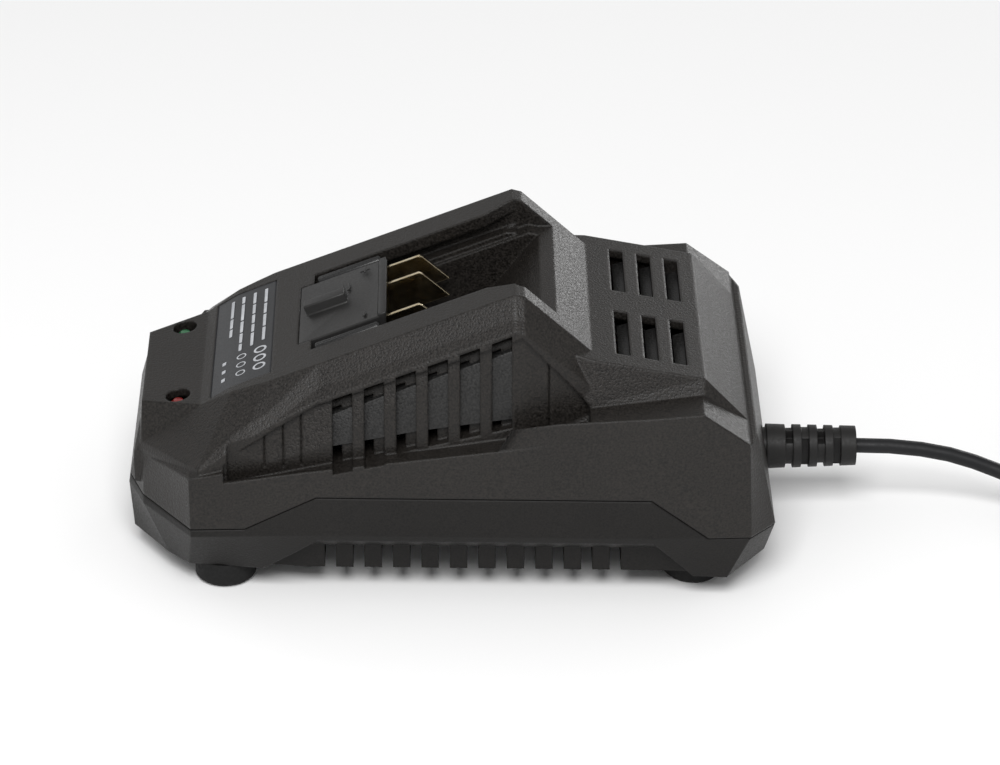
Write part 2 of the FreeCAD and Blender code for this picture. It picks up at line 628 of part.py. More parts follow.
def side_vent_cuts():
    """The sunk side panels, the bays between their ribs, the slots behind and the scored lines at the ends."""
    count = int(value("rib_count"))
    ribs = row_of_boxes("Ribs", count - 2, (
        "rib_first + rib_pitch - rib_width / 2", "-skirt_half - 3 * wall", "ledge_foot - wall"),
        ("rib_width", "skirt_half", "apex_z - ledge_foot"), "rib_pitch")
    backs = row_of_boxes("RibBacks", count - 1, (
        "rib_first + rib_width / 2 + slot_width", "-skirt_half - 3 * wall", "ledge_foot - wall"),
        ("rib_pitch - slot_width", "skirt_half", "apex_z - ledge_foot"), "rib_pitch")
    panel = cut("SidePanel", side_slice("SidePanelRegion", panel_outline(), "-skirt_half - 2 * wall", "-top_half"),
                sunk("PanelSunk", "panel_depth"))
    bays = cut("VentBays", bay_region("BayRegion", "top_half", "0"), ribs, sunk("BaysSunk", "bay_depth"))
    slots = cut("VentSlots", bay_region("SlotRegion", "top_half - 2 * wall", "slot_drop"), backs)
    scores = [box("Score%d" % k, (x, "-skirt_half - 2 * wall", "ledge_foot"), (
        "score_width", "skirt_half + 2 * wall - top_half", "apex_z - ledge_foot"))
        for k, x in enumerate(("score_low_x", "score_mid_x", "score_high_x", "score_rear_x"))]
    area = side_slice("ScoreRegion", panel_outline(), "-skirt_half - 2 * wall", "-top_half")
    lines = cut("ScoreLines", common("ScoreArea", fuse("ScoreStrips", *scores), area),
                sunk("ScoreSunk", "panel_depth + score_depth"))
    return [both_sides(name, item) for name, item in (
        ("SidePanels", panel), ("VentBayPairs", bays), ("VentSlotPairs", slots), ("ScorePairs", lines))]


def channel_cut():
    """The dark gap behind the belt's top edge, below the ribs."""
    points = [(x, z) for x, z in ledge_points("channel_depth")]
    low = [("channel_front", "ledge_foot - channel_depth")] + points[4:6]
    low.append(("channel_rear", "ledge_rise - channel_depth + 0.6"))
    low += [("channel_rear", "ledge_rear + wall"), ("channel_front", "ledge_rear + wall")]
    return both_sides("Channels", side_slice("Channel", low, "-channel_half", "-(skirt_half - panel_depth)"))


def deck_vent_cuts():
    """Three by two slots through the deck at the cord end."""
    rows = []
    for name, start in (("Near", "-vent_inner - vent_length"), ("Far", "vent_inner")):
        rows.append(row_of_boxes("DeckVents" + name, 3, ("vent_x", start, "deck_end_z - 3 * wall"),
                                 ("vent_width", "vent_length", "deck_z"), "vent_pitch"))
    return rows


def seam_cut():
    """The narrow groove that sets off the end panel around the cord."""
    across = box("SeamAcross", ("tail_x", "-hip_half", "tail_z - seam_depth"), ("seam_width", "2 * hip_half", "wall"))
    return [across]


def label_points(low, high):
    """The strip of the curved lamp end that the label lies on."""
    stops = [("label_front", "panel_rear_z + (label_front - panel_rear_x) * (swell_z - panel_rear_z) / (swell_x - panel_rear_x)"),
             ("swell_x", "swell_z"), ("arch_x", slope_z("arch_x") + " + arch_rise - 0.4"),
             ("brow_x", slope_z("brow_x")), ("label_rear", slope_z("label_rear"))]
    upper = [(x, "%s + (%s)" % (z, high)) for x, z in stops]
    lower = [(x, "%s + (%s)" % (z, low)) for x, z in reversed(stops)]
    return upper + lower


def screw_posts(name, low, high):
    """Round posts above the four feet."""
    places = [(x, y) for x in ("foot_front_x", "foot_rear_x") for y in ("-foot_half", "foot_half")]
    posts = [cylinder("%s%d" % (name, k), (x, y, low), "post_radius", "(%s) - (%s)" % (high, low))
             for k, (x, y) in enumerate(places)]
    return fuse(name, *posts)


def at_feet(name, radius, low, high):
    """Upright cylinders on the axes of the four feet."""
    places = [(x, y) for x in ("foot_front_x", "foot_rear_x") for y in ("-foot_half", "foot_half")]
    return [cylinder("%s%d" % (name, k), (x, y, low), radius, "(%s) - (%s)" % (high, low))
            for k, (x, y) in enumerate(places)]


def lamp_posts():
    """Two posts that carry the lamp board under the lamp panel."""
    return [cylinder("LampPost%d" % k, ("lamp_x", "%s * lamp_post_half" % sign, "lamp_board_z + lamp_board_thick"),
                     "lamp_post_radius", "panel_front_z - wall - lamp_board_z - lamp_board_thick + 1")
            for k, sign in enumerate(("-1", "1"))]


def at_lamps(name, radius, low, height):
    return [cylinder("%s%d" % (name, k), ("lamp_x", "%s * lamp_half" % sign, low), radius, height)
            for k, sign in enumerate(("-1", "1"))]


def cord_hole(name):
    return cylinder(name, ("stern_x", "0", "cord_z"), "relief_core + fit", "2 * wall + half_length - stern_x", "X")


def upper_housing(form, hollow):
    above = side_pad("AboveParting", parting_points("parting_gap") + [
        ("half_length + wall", "apex_z + wall"), ("-half_length - wall", "apex_z + wall")], "hip_half + wall")
    outer = common("UpperForm", form, above)
    shell = cut("UpperShell", outer, hollow)
    posts = common("UpperPosts", screw_posts("UpperPost", "post_joint", "apex_z"), form)
    solid = fuse("UpperSolid", shell, bay_walls(outer), posts, *lamp_posts())
    tools = battery_bay() + blade_legs_cut() + side_vent_cuts() + [channel_cut()] + deck_vent_cuts() + seam_cut()
    tools += at_lamps("LampHole", "lamp_hole", "lamp_board_z + lamp_tall / 2", "apex_z")
    tools += at_feet("UpperPilot", "screw_radius + fit / 2", "post_joint - 1", "post_joint + screw_bite + 1")
    tools += [cylinder("LampPilot%d" % k, ("lamp_x", "%s * lamp_post_half" % sign, "lamp_board_z"),
                       "board_screw_radius + fit / 2", "lamp_board_thick + board_screw_long + 0.5")
              for k, sign in enumerate(("-1", "1"))]
    tools.append(side_pad("LabelRecess", label_points("-label_sink - label_thick", "wall"), "label_half + fit"))
    tools.append(cord_hole("UpperCordHole"))
    return sub_part(cut("UpperHousing", solid, *tools), "upper_housing")


def tooth_slots():
    """Open slots along the bottom edge, on both sides."""
    count = int(value("tooth_count"))
    near = row_of_boxes("ToothSlots", count, ("tooth_first - tooth_gap / 2", "-hip_half - wall", "0"), (
        "tooth_gap", "hip_half + wall - tooth_reach", "tooth_top"), "tooth_pitch")
    return both_sides("ToothSlotPairs", near)


def base_bevel():
    """Shaves the lower flanks between the feet."""
    body = doc.addObject("PartDesign::Body", "BevelLoft")
    low = sketch_on(body, "BevelLow", "XY_Plane", "base_z - 1")
    draw_polygon(low, belt_low("bevel_depth"))
    mid = sketch_on(body, "BevelMid", "XY_Plane", "tooth_top")
    draw_polygon(mid, belt_low("bevel_depth"))
    high = sketch_on(body, "BevelHigh", "XY_Plane", "bevel_top")
    draw_polygon(high, belt_mid("0.25"))
    loft = body.newObject("PartDesign::AdditiveLoft", "BevelLoftSkin")
    loft.Profile = low
    loft.Sections = [mid, high]
    loft.Ruled = True
    band = side_pad("BevelBand", [("bevel_front", "base_z - 1"), ("bevel_front_in", "bevel_top"),
                                  ("bevel_rear_in", "bevel_top"), ("bevel_rear", "base_z - 1")], "hip_half + wall")
    return cut("BaseBevel", band, body)


def board_corners():
    return [(x, y) for x in ("board_front + boss_inset", "board_rear - boss_inset")
            for y in ("-board_half + boss_inset", "board_half - boss_inset")]


def at_board_corners(name, radius, low, height):
    return [cylinder("%s%d" % (name, k), (x, y, low), radius, height) for k, (x, y) in enumerate(board_corners())]


def cord_bed():
    """The saddle under the lead and the two bosses of its clamp."""
    saddle = box("CordSaddle", ("(half_length - clamp_inset) - clamp_long / 2", "-2 * cord_radius", "base_z"),
                 ("clamp_long", "4 * cord_radius", "cord_z - cord_radius - base_z"))
    bosses = [cylinder("ClampBoss%d" % k, ("(half_length - clamp_inset)", "%s * clamp_screw_half" % sign, "base_z"), "boss_radius",
                       "cord_z + cord_radius - fit - base_z") for k, sign in enumerate(("-1", "1"))]
    return [saddle] + bosses


def at_clamp(name, radius, low, height):
    return [cylinder("%s%d" % (name, k), ("(half_length - clamp_inset)", "%s * clamp_screw_half" % sign, low), radius, height)
            for k, sign in enumerate(("-1", "1"))]


def lower_housing(form, hollow):
    below = side_pad("BelowParting", parting_points("0") + [
        ("half_length + wall", "0"), ("-half_length - wall", "0")], "hip_half + wall")
    shell = cut("LowerShell", common("LowerForm", form, below), hollow)
    bosses = at_board_corners("BoardBoss", "boss_radius", "base_z", "board_z - base_z")
    sill = side_slice("Sill", [("bevel_front", "base_z"), ("bevel_rear", "base_z"), ("bevel_rear", "post_joint"),
                               ("bevel_front", "post_joint")], "-hip_half", "-sill_half")
    sills = common("Sills", both_sides("SillPair", sill), form)
    solid = fuse("LowerSolid", shell, sills, screw_posts("LowerPost", "base_z", "post_joint"), *(bosses + cord_bed()))
    seat = "base_z + spigot_tall + fit"
    tools = at_feet("FootSocket", "spigot_radius + fit", "base_z - 1", seat)
    tools += at_feet("HeadSocket", "screw_head_radius + 2 * fit", "base_z", seat + " + screw_head_tall")
    tools += at_feet("LowerPilot", "screw_radius + 2 * fit", "base_z", "post_joint + 1")
    tools += at_board_corners("BoardPilot", "board_screw_radius + fit / 2",
                              "board_z + board_thick - board_screw_long - 0.5", "board_screw_long")
    tools += at_clamp("ClampPilot", "board_screw_radius + fit / 2", "cord_z + cord_radius - board_screw_long",
                      "board_screw_long")
    tools += [tooth_slots(), base_bevel(), cord_hole("LowerCordHole")]
    return sub_part(cut("LowerHousing", solid, *tools), "lower_housing")


def foot(label, x, y):
    body = turned("Foot_" + label, [
        ("0", "0"), ("0", "foot_radius - foot_round"), ("foot_round", "foot_radius"), ("base_z", "foot_radius"),
        ("base_z", "spigot_radius"), ("base_z + spigot_tall", "spigot_radius"), ("base_z + spigot_tall", "0")])
    return sub_part(place(body, x, y), label)


def housing_screws():
    low = "base_z + spigot_tall + fit"
    heads = at_feet("ScrewHead", "screw_head_radius", low, low + " + screw_head_tall - fit")
    shanks = at_feet("ScrewShank", "screw_radius", low + " + screw_head_tall / 2", "post_joint + screw_bite")
    sockets = at_feet("ScrewSocket", "screw_radius - 0.5", low + " - 1", low + " + screw_head_tall / 2")
    return sub_part(cut("HousingScrews", fuse("ScrewBlanks", *(heads + shanks)), *sockets), "housing_screws")


def small_screws(name, label, spots, top, sign):
    """Pan head screws at given places: the head lies on the given height, above it or below it."""
    pieces = []
    for k, (x, y) in enumerate(spots):
        head_low = top if sign > 0 else "%s - board_screw_radius" % top
        shank_low = "%s - board_screw_long" % top if sign > 0 else top
        pieces.append(cylinder("%sHead%d" % (name, k), (x, y, head_low), "board_screw_head", "board_screw_radius"))
        pieces.append(cylinder("%sShank%d" % (name, k), (x, y, shank_low), "board_screw_radius", "board_screw_long"))
    return sub_part(fuse(name, *pieces), label)


def terminal_block():
    front_x = on_slope("block_front", "0")[0]
    rear_x = on_slope("block_rear", "0")[0]
    outline_points = [(front_x, "well_floor"), (rear_x, "well_floor"), (rear_x, slope_z(rear_x) + " + lip_rise"),
                      on_slope("block_rear - lip_width", "lip_rise"), on_slope("block_rear - lip_width", "0"),
                      (front_x, slope_z(front_x))]
    core = side_pad("BlockCore", outline_points, "block_half")
    key = side_pad("BlockKey", slope_strip("key_front", "key_front + key_long", "-1", "key_rise"), "key_half")
    tools = []
    for name in ("positive", "sense", "negative"):
        tools += blade_pieces("Slot" + name, "blade_%s_y" % name, "blade_thick / 2 + fit", "fit")
    return sub_part(cut("TerminalBlock", fuse("BlockSolid", core, key), *tools), "terminal_block")


def blade_pieces(name, y, half, spare):
    """A contact blade's plate and leg, as thick as twice the half width."""
    root = "block_rear - 13"
    plate = side_slice(name + "Plate", [
        on_slope(root, "-blade_bottom"), on_slope("blade_tip", "-blade_bottom"),
        on_slope("blade_tip - blade_slant", "-blade_top - blade_round"),
        on_slope("blade_tip - blade_slant - blade_round", "-blade_top"),
        on_slope(root, "-blade_top")], "%s - (%s)" % (y, half), "%s + %s" % (y, half))
    leg = box(name + "Leg", ("blade_leg_x - blade_leg_width / 2 - %s" % spare, "%s - (%s)" % (y, half), "blade_leg_end"), (
        "blade_leg_width + 2 * %s" % spare, "2 * (%s)" % half, "well_floor + 5 - blade_leg_end"))
    return [plate, leg]


def blade(name):
    pieces = blade_pieces("Blade" + name, "blade_%s_y" % name, "blade_thick / 2", "0")
    return sub_part(fuse("Blade_" + name, *pieces), "blade_" + name)


def label_plate():
    body = side_pad("LabelPlate", label_points("-label_sink - label_thick", "-label_sink"), "label_half")
    return sub_part(body, "rating_label")


def lamp(label, y):
    dome = "lamp_tall - lamp_radius"
    points = [("0", "0"), ("0", "lamp_flange"), ("1", "lamp_flange"), ("1", "lamp_radius"), (dome, "lamp_radius")]
    for share in (30, 60):
        points.append(("%s + lamp_radius * sin(%d)" % (dome, share), "lamp_radius * cos(%d)" % share))
    points.append(("lamp_tall", "0"))
    body = turned("Lamp_" + label, points)
    return sub_part(place(body, "lamp_x", y, "lamp_board_z + lamp_board_thick"), label)


def lamp_board():
    plate = box("LampBoardPlate", ("lamp_x - lamp_board_long / 2", "-lamp_board_half", "lamp_board_z"),
                ("lamp_board_long", "2 * lamp_board_half", "lamp_board_thick"))
    holes = [cylinder("LampBoardHole%d" % k, ("lamp_x", "%s * lamp_post_half" % sign, "lamp_board_z - 1"),
                      "board_screw_radius + fit", "lamp_board_thick + 2") for k, sign in enumerate(("-1", "1"))]
    return sub_part(cut("LampBoard", plate, *holes), "lamp_board")


def ribbon_cable():
    top_x = "lamp_x + lamp_board_long / 2 - 1.5"
    body = side_pad("RibbonCable", [
        (top_x, "lamp_board_z"), (top_x + " + ribbon_thick", "lamp_board_z"),
        ("board_front + 3 + ribbon_thick", "board_z + board_thick"), ("board_front + 3", "board_z + board_thick")],
        "ribbon_wide / 2")
    return sub_part(body, "ribbon_cable")


def main_board():
    plate = box("BoardPlate", ("board_front", "-board_half", "board_z"),
                ("board_rear - board_front", "2 * board_half", "board_thick"))
    holes = at_board_corners("BoardHole", "board_screw_radius + fit", "board_z - 1", "board_thick + 2")
    return sub_part(cut("MainBoard", plate, *holes), "main_board")


DECK = "(board_z + board_thick)"


def transformer():
    """The bobbin, the core and the winding of the switching transformer."""
    base = DECK + " + bobbin_tall"
    bobbin = box("Bobbin", ("core_x - core_long / 2", "-core_wide / 2 - coil_out", DECK),
                 ("core_long", "core_wide + 2 * coil_out", "bobbin_tall"))
    sub_part(bobbin, "transformer_bobbin")
    outer = box("CoreOuter", ("core_x - core_long / 2", "-core_wide / 2", base), ("core_long", "core_wide", "core_tall"))
    wide = "core_long / 2 - core_yoke - core_leg / 2"
    windows = [box("CoreWindow%d" % k, (x, "-core_wide", base + " + core_yoke"),
                   (wide, "2 * core_wide", "core_tall - 2 * core_yoke"))
               for k, x in enumerate(("core_x + core_leg / 2", "core_x - core_long / 2 + core_yoke"))]
    sub_part(cut("TransformerCore", outer, *windows), "transformer_core")
    half_x = "(core_long / 2 - core_yoke - coil_fill)"
    half_y = "(core_wide / 2 + coil_out)"
    plan = []
    for sx, sy in ((-1, -1), (1, -1), (1, 1), (-1, 1)):
        near_x = ("core_x + %d * (%s - coil_out / 2)" % (sx, half_x), "%d * %s" % (sy, half_y))
        near_y = ("core_x + %d * %s" % (sx, half_x), "%d * (%s - coil_out / 2)" % (sy, half_y))
        plan += [near_x, near_y] if sx * sy < 0 else [near_y, near_x]
    low = base + " + core_yoke + coil_fill"
    high = base + " + core_tall - core_yoke - coil_fill"
    coil = plan_pad("CoilBlank", plan, low, high)
    leg = box("CoilHole", ("core_x - core_leg / 2 - fit", "-core_wide / 2 - fit", base),
              ("core_leg + 2 * fit", "core_wide + 2 * fit", "core_tall"))
    sub_part(cut("TransformerWinding", coil, leg), "transformer_winding")


def can_capacitor(name, x, y, radius, tall):
    """A can with a crimped neck near its foot, standing on the board."""
    body = turned(name, [
        ("0", "0"), ("0", radius), ("2", radius), ("2.6", "%s - 0.5" % radius), ("3.2", radius),
        ("%s - 0.6" % tall, radius), (tall, "%s - 0.6" % radius), (tall, "0")])
    return place(body, x, y, DECK)


def capacitors():
    sub_part(can_capacitor("BulkCapacitor", "bulk_x", "bulk_y", "bulk_radius", "bulk_tall"), "bulk_capacitor")
    pair = [can_capacitor("OutputCan%d" % k, "output_x + %d * output_pitch" % k, "output_y", "output_radius",
                          "output_tall") for k in range(2)]
    sub_part(fuse("OutputCapacitors", *pair), "output_capacitors")
    film = box("FilterCapacitor", ("filter_x - filter_long / 2", "filter_y - filter_wide / 2", DECK),
               ("filter_long", "filter_wide", "filter_tall"))
    sub_part(film, "filter_capacitor")


def heat_sink(name, label, x, y):
    """An upright plate with fins on its outer side."""
    base = box(name + "Base", ("%s - sink_long / 2" % x, y, DECK), ("sink_long", "sink_thick", "sink_tall"))
    fins = row_of_boxes(name + "Fins", 5, ("%s - sink_long / 2" % x, y, DECK), (
        "1.4", "sink_thick + 5", "sink_tall"), "(sink_long - 1.4) / 4")
    return sub_part(fuse(name, base, fins), label)


def power_package(name, label, x, y):
    """A three legged package, standing against its heat sink."""
    low = DECK + " + package_lift"
    case = box(name + "Case", ("%s - package_wide / 2" % x, "%s - package_thick" % y, low),
               ("package_wide", "package_thick", "package_tall - 6"))
    tab = box(name + "Tab", ("%s - package_wide / 2" % x, "%s - 1.3" % y, low), ("package_wide", "1.3", "package_tall"))
    legs = [cylinder("%sLeg%d" % (name, k), ("%s + %d * lead_pitch" % (x, k), "%s - package_thick / 2" % y, DECK),
                     "lead_radius", "package_lift + 1") for k in (-1, 0, 1)]
    return sub_part(fuse(name, case, tab, *legs), label)


def bridge_rectifier():
    low = DECK + " + package_lift / 2"
    case = box("BridgeCase", ("bridge_x - bridge_long / 2", "bridge_y - bridge_thick / 2", low),
               ("bridge_long", "bridge_thick", "bridge_tall"))
    legs = [cylinder("BridgeLeg%d" % k, ("bridge_x + %s * lead_pitch" % (k - 1.5), "bridge_y", DECK), "lead_radius",
                     "package_lift / 2 + 1") for k in range(4)]
    return sub_part(fuse("BridgeRectifier", case, *legs), "bridge_rectifier")


def output_choke():
    body = turned("OutputChoke", [
        ("0", "choke_hole"), ("0", "choke_radius - 1"), ("1", "choke_radius"), ("choke_thick - 1", "choke_radius"),
        ("choke_thick", "choke_radius - 1"), ("choke_thick", "choke_hole")])
    return sub_part(place(body, "choke_x", "choke_y", DECK), "output_choke")


def fuse_and_clips():
    axis_z = DECK + " + fuse_radius + 1.2"
    tube = cylinder("FuseTube", ("fuse_x - fuse_long / 2", "fuse_y", axis_z), "fuse_radius", "fuse_long", "X")
    sub_part(tube, "fuse")
    blanks = [box("ClipBlank%d" % k, (x, "fuse_y - fuse_radius - 0.6", DECK), (
        "fuse_cap", "2 * fuse_radius + 1.2", "fuse_radius + 2")) for k, x in enumerate(
        ("fuse_x - fuse_long / 2 + 0.5", "fuse_x + fuse_long / 2 - fuse_cap - 0.5"))]
    bore = cylinder("ClipBore", ("fuse_x - fuse_long", "fuse_y", axis_z), "fuse_radius + fit / 2", "2 * fuse_long", "X")
    sub_part(cut("FuseClips", fuse("ClipBlanks", *blanks), bore), "fuse_clips")


def small_chips():
    for name, label, long in (("chip", "control_chip", "chip_long"), ("coupler", "optocoupler", "coupler_long")):
        item = box(label.title().replace("_", ""), ("%s_x - %s / 2" % (name, long), "%s_y - chip_wide / 2" % name, DECK),
                   (long, "chip_wide", "chip_tall"))
        sub_part(item, label)


def smooth_path(points):
    """Straight runs joined by arcs as large as their runs allow, and the arcs' radii."""
    corners = [FreeCAD.Vector(*point) for point in points]
    edges = []
    radii = []
    start = corners[0]
    for index in range(1, len(corners) - 1):
        before = corners[index - 1] - corners[index]
        after = corners[index + 1] - corners[index]
        reach = 0.45 * min(before.Length, after.Length)
        half_turn = (math.pi - before.getAngle(after)) / 2
        radii.append(reach / math.tan(half_turn))
        before.normalize()
        after.normalize()
        arc_start = corners[index] + before * reach
        arc_end = corners[index] + after * reach
        middle = before + after
        middle.normalize()
        depth = radii[-1] / math.cos(half_turn) - radii[-1]
        edges.append(Part.LineSegment(start, arc_start).toShape())
        edges.append(Part.Arc(arc_start, corners[index] + middle * depth, arc_end).toShape())
        start = arc_end
    edges.append(Part.LineSegment(start, corners[-1]).toShape())
    return Part.Wire(edges), radii


def tube_along(name, points, radius):
    """A round wire or lead along a smooth path, as a plain solid."""
    path, radii = smooth_path(points)
    direction = path.Edges[0].tangentAt(path.Edges[0].FirstParameter)
    ring = Part.Wire(Part.makeCircle(value(radius), FreeCAD.Vector(*points[0]), direction))
    item = doc.addObject("Part::Feature", name)
    item.Shape = path.makePipeShell([ring], True, True)
    expected = math.pi * value(radius) ** 2 * path.Length
    print(name, "length", round(path.Length, 1), "radii", [round(r, 1) for r in radii],
          "volume ratio", round(item.Shape.Volume / expected, 4))
    return item


def terminal_leads():
    deck = value(DECK)
    x = value("blade_leg_x")
    low = value("blade_leg_end")
    for name in ("positive", "sense", "negative"):
        y = value("blade_%s_y" % name)
        points = [(x, y, low), (x, y, low - 8), (x - 4, y, low - 18), (x - 4, y, deck)]
        sub_part(tube_along("Lead_" + name, points, "wire_radius"), "lead_" + name)


def mains_wires():
    deck = value(DECK)
    z = value("cord_z")
    start = value("(half_length - tail_inset)")
    land = value("wire_land_x")
    for name, sign in (("live", -1), ("neutral", 1)):
        near = sign * value("wire_half")
        far = sign * value("wire_land_half")
        points = [(start, near, z), (start - 4, near, z), (start - 10, far, z + 1), (land, far, z), (land, far, deck)]
        sub_part(tube_along("Wire_" + name, points, "wire_radius"), "mains_wire_" + name)


def relief_radius(x):
    return "(relief_root + (relief_tip - relief_root) * (%s - (half_length + relief_stand)) / ((half_length + relief_long) - (half_length + relief_stand)))" % x


def strain_relief():
    """A ribbed sleeve, gripped by the wall between its collar and its first ring."""
    wall_in = "half_length - wall - collar_set"
    points = [(wall_in + " - collar_thick", "cord_radius + fit"), (wall_in + " - collar_thick", "collar_radius"),
              (wall_in, "collar_radius"), (wall_in, "relief_core"), ("(half_length + relief_stand)", "relief_core"),
              ("(half_length + relief_stand)", "relief_root"), ("(half_length + ring_offset) - ring_pitch + ring_width", relief_radius("(half_length + ring_offset)"))]
    for k in range(4):
        start = "((half_length + ring_offset) + %d * ring_pitch)" % k
        end = start + " + ring_width" if k < 3 else "(half_length + relief_long)"
        before = "((half_length + ring_offset) + %d * ring_pitch) + ring_width" % (k - 1)
        points += [(before, "relief_core - 0.1 * %d" % k), (start, "relief_core - 0.1 * %d" % k),
                   (start, relief_radius(start)), (end, relief_radius(end))]
    points.append(("(half_length + relief_long)", "cord_radius + fit"))
    body = place(turned("ReliefBlank", points, "X"), "0", "0", "cord_z")
    tools = []
    for k in range(4):
        low = "(half_length + ring_offset) + %d * ring_pitch + ring_width" % (k - 1)
        long = "ring_pitch - ring_width"
        for sign in (-1, 1):
            if k % 2 == 0:
                z = "cord_z + window_floor" if sign > 0 else "cord_z - window_floor - relief_root"
                for half in (-1, 1):
                    y = "window_web" if half > 0 else "-window_half"
                    tools.append(box("Window%d_%d_%d" % (k, sign + 1, half + 1), (low, y, z),
                                     (long, "window_half - window_web", "relief_root")))
            else:
                y = "window_floor" if sign > 0 else "-window_floor - relief_root"
                tools.append(box("Window%d_%d" % (k, sign + 1), (low, y, "cord_z - window_half"),
                                 (long, "relief_root", "2 * window_half")))
    return sub_part(cut("StrainRelief", body, *tools), "strain_relief")


def cord_tail():
    item = cylinder("CordTail", ("(half_length - tail_inset)", "0", "cord_z"), "cord_radius", "(half_length + relief_long) - (half_length - tail_inset)", "X")
    return sub_part(item, "cord_tail")


def cord_clamp():
    bar = box("ClampBar", ("(half_length - clamp_inset) - clamp_long / 2", "-clamp_half", "cord_z + cord_radius"),
              ("clamp_long", "2 * clamp_half", "clamp_tall"))
    holes = at_clamp("ClampHole", "board_screw_radius + fit", "cord_z", "cord_radius + 2 * clamp_tall")
    return sub_part(cut("CordClamp", bar, *holes), "cord_clamp")


def free_cord():
    """The lead outside the housing, the space of its coil, and its plug."""
    sub_part(tube_along("Cord", CORD_ROUTE, "cord_radius"), "cord")
    ring = turned("CordCoil", [
        ("0", "coil_inner + 1"), ("0", "coil_outer - 1"), ("1", "coil_outer"), ("coil_tall - 1", "coil_outer"),
        ("coil_tall", "coil_outer - 1"), ("coil_tall", "coil_inner + 1"), ("coil_tall - 1", "coil_inner"),
        ("1", "coil_inner")])
    sub_part(place(ring, "coil_x", "coil_y"), "cord_coil")
    axis_x = "coil_x + coil_outer + boot_radius"
    boot = cylinder("PlugBoot", (axis_x, "coil_y", "plug_axis_z"), "boot_radius", "boot_long + 1", "Y")
    low_y = "coil_y + boot_long"
    plan = [("%s - plug_waist / 2" % axis_x, low_y), ("%s + plug_waist / 2" % axis_x, low_y),
            ("%s + plug_wide / 2" % axis_x, low_y + " + plug_waist"), ("%s + plug_wide / 2" % axis_x, low_y + " + plug_long"),
            ("%s - plug_wide / 2" % axis_x, low_y + " + plug_long"), ("%s - plug_wide / 2" % axis_x, low_y + " + plug_waist")]
    body = plan_pad("PlugCase", plan, "plug_axis_z - plug_thick / 2", "plug_axis_z + plug_thick / 2")
    sub_part(fuse("PlugBody", boot, body), "plug_body")
    pins = [cylinder("PlugPin%d" % k, ("%s + %s * pin_pitch" % (axis_x, share), low_y + " + plug_long", "plug_axis_z"),
                     "pin_radius", "pin_long", "Y") for k, share in enumerate((-0.5, 0.5))]
    sub_part(fuse("PlugPins", *pins), "plug_pins")


def build():
    form = housing_form()
    hollow = housing_cavity()
    upper_housing(form, hollow)
    lower_housing(form, hollow)
    for end, x in (("front", "foot_front_x"), ("rear", "foot_rear_x")):
        for side, y in (("near", "-foot_half"), ("far", "foot_half")):
            foot("foot_%s_%s" % (end, side), x, y)
    housing_screws()
    terminal_block()
    for name in ("positive", "sense", "negative"):
        blade(name)
    label_plate()
    lamp("lamp_red", "-lamp_half")
    lamp("lamp_green", "lamp_half")
    lamp_board()
    small_screws("LampScrews", "lamp_board_screws", [("lamp_x", "-lamp_post_half"), ("lamp_x", "lamp_post_half")],
                 "lamp_board_z", -1)
    ribbon_cable()
    main_board()
    small_screws("BoardScrews", "board_screws", board_corners(), DECK, 1)
    transformer()
    capacitors()
    heat_sink("SwitchSink", "switch_heat_sink", "switch_sink_x", "switch_sink_y")
    heat_sink("DiodeSink", "diode_heat_sink", "diode_sink_x", "diode_sink_y")
    power_package("Switch", "switch_transistor", "switch_sink_x", "switch_sink_y")
    power_package("Diode", "output_diode", "diode_sink_x", "diode_sink_y")
    bridge_rectifier()
    output_choke()
    fuse_and_clips()
    small_chips()
    terminal_leads()
    mains_wires()
    strain_relief()
    cord_tail()
    cord_clamp()
    small_screws("ClampScrews", "clamp_screws", [("(half_length - clamp_inset)", "-clamp_screw_half"), ("(half_length - clamp_inset)", "clamp_screw_half")],
                 "cord_z + cord_radius + clamp_tall", 1)
    free_cord()


def check_model():
    """Stops before anything is written if a feature or a piece is not sound."""
    faults = []
    for item in doc.Objects:
        if "Invalid" in item.State or "Error" in item.State:
            faults.append("%s is %s" % (item.Name, item.State))
    for item in SUB_PARTS:
        if item.Shape.isNull() or not item.Shape.isValid():
            faults.append("%s has no sound shape" % item.Label)
    if faults:
        raise RuntimeError("; ".join(faults))


def export_parts():
    os.makedirs("parts", exist_ok=True)
    for item in SUB_PARTS:
        item.Shape.exportStep("parts/%s.step" % item.Label)


build()
doc.recompute()
check_model()
export_parts()
for piece in SUB_PARTS:
    print("%-22s solids %d volume %.0f" % (piece.Label, len(piece.Shape.Solids), piece.Shape.Volume))
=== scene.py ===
import bpy
import bmesh
import math
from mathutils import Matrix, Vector


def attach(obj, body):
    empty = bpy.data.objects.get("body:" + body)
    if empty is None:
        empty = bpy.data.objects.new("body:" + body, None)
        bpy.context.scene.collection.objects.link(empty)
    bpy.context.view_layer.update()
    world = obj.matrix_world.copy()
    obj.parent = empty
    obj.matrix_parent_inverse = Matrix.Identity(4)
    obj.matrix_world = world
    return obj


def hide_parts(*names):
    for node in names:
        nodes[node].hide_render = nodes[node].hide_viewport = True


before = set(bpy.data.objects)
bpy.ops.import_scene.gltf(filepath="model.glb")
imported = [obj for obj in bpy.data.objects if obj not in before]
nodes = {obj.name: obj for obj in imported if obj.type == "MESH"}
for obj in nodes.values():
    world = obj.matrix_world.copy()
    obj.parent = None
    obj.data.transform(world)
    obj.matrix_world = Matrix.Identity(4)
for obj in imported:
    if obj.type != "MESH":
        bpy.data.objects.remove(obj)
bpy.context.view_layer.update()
bpy.ops.object.select_all(action="DESELECT")

camera = {
    "target": (0.0146, 0.0, 0.043),
    "distance": 1.220,
    "elevation": 30.0,
    "turn": 0.76,       # degrees that the camera stands left of the middle
    "lens": 153.72,
    "sensor": 36.0,
    "nearest": 0.05,
    "farthest": 20.0,
}


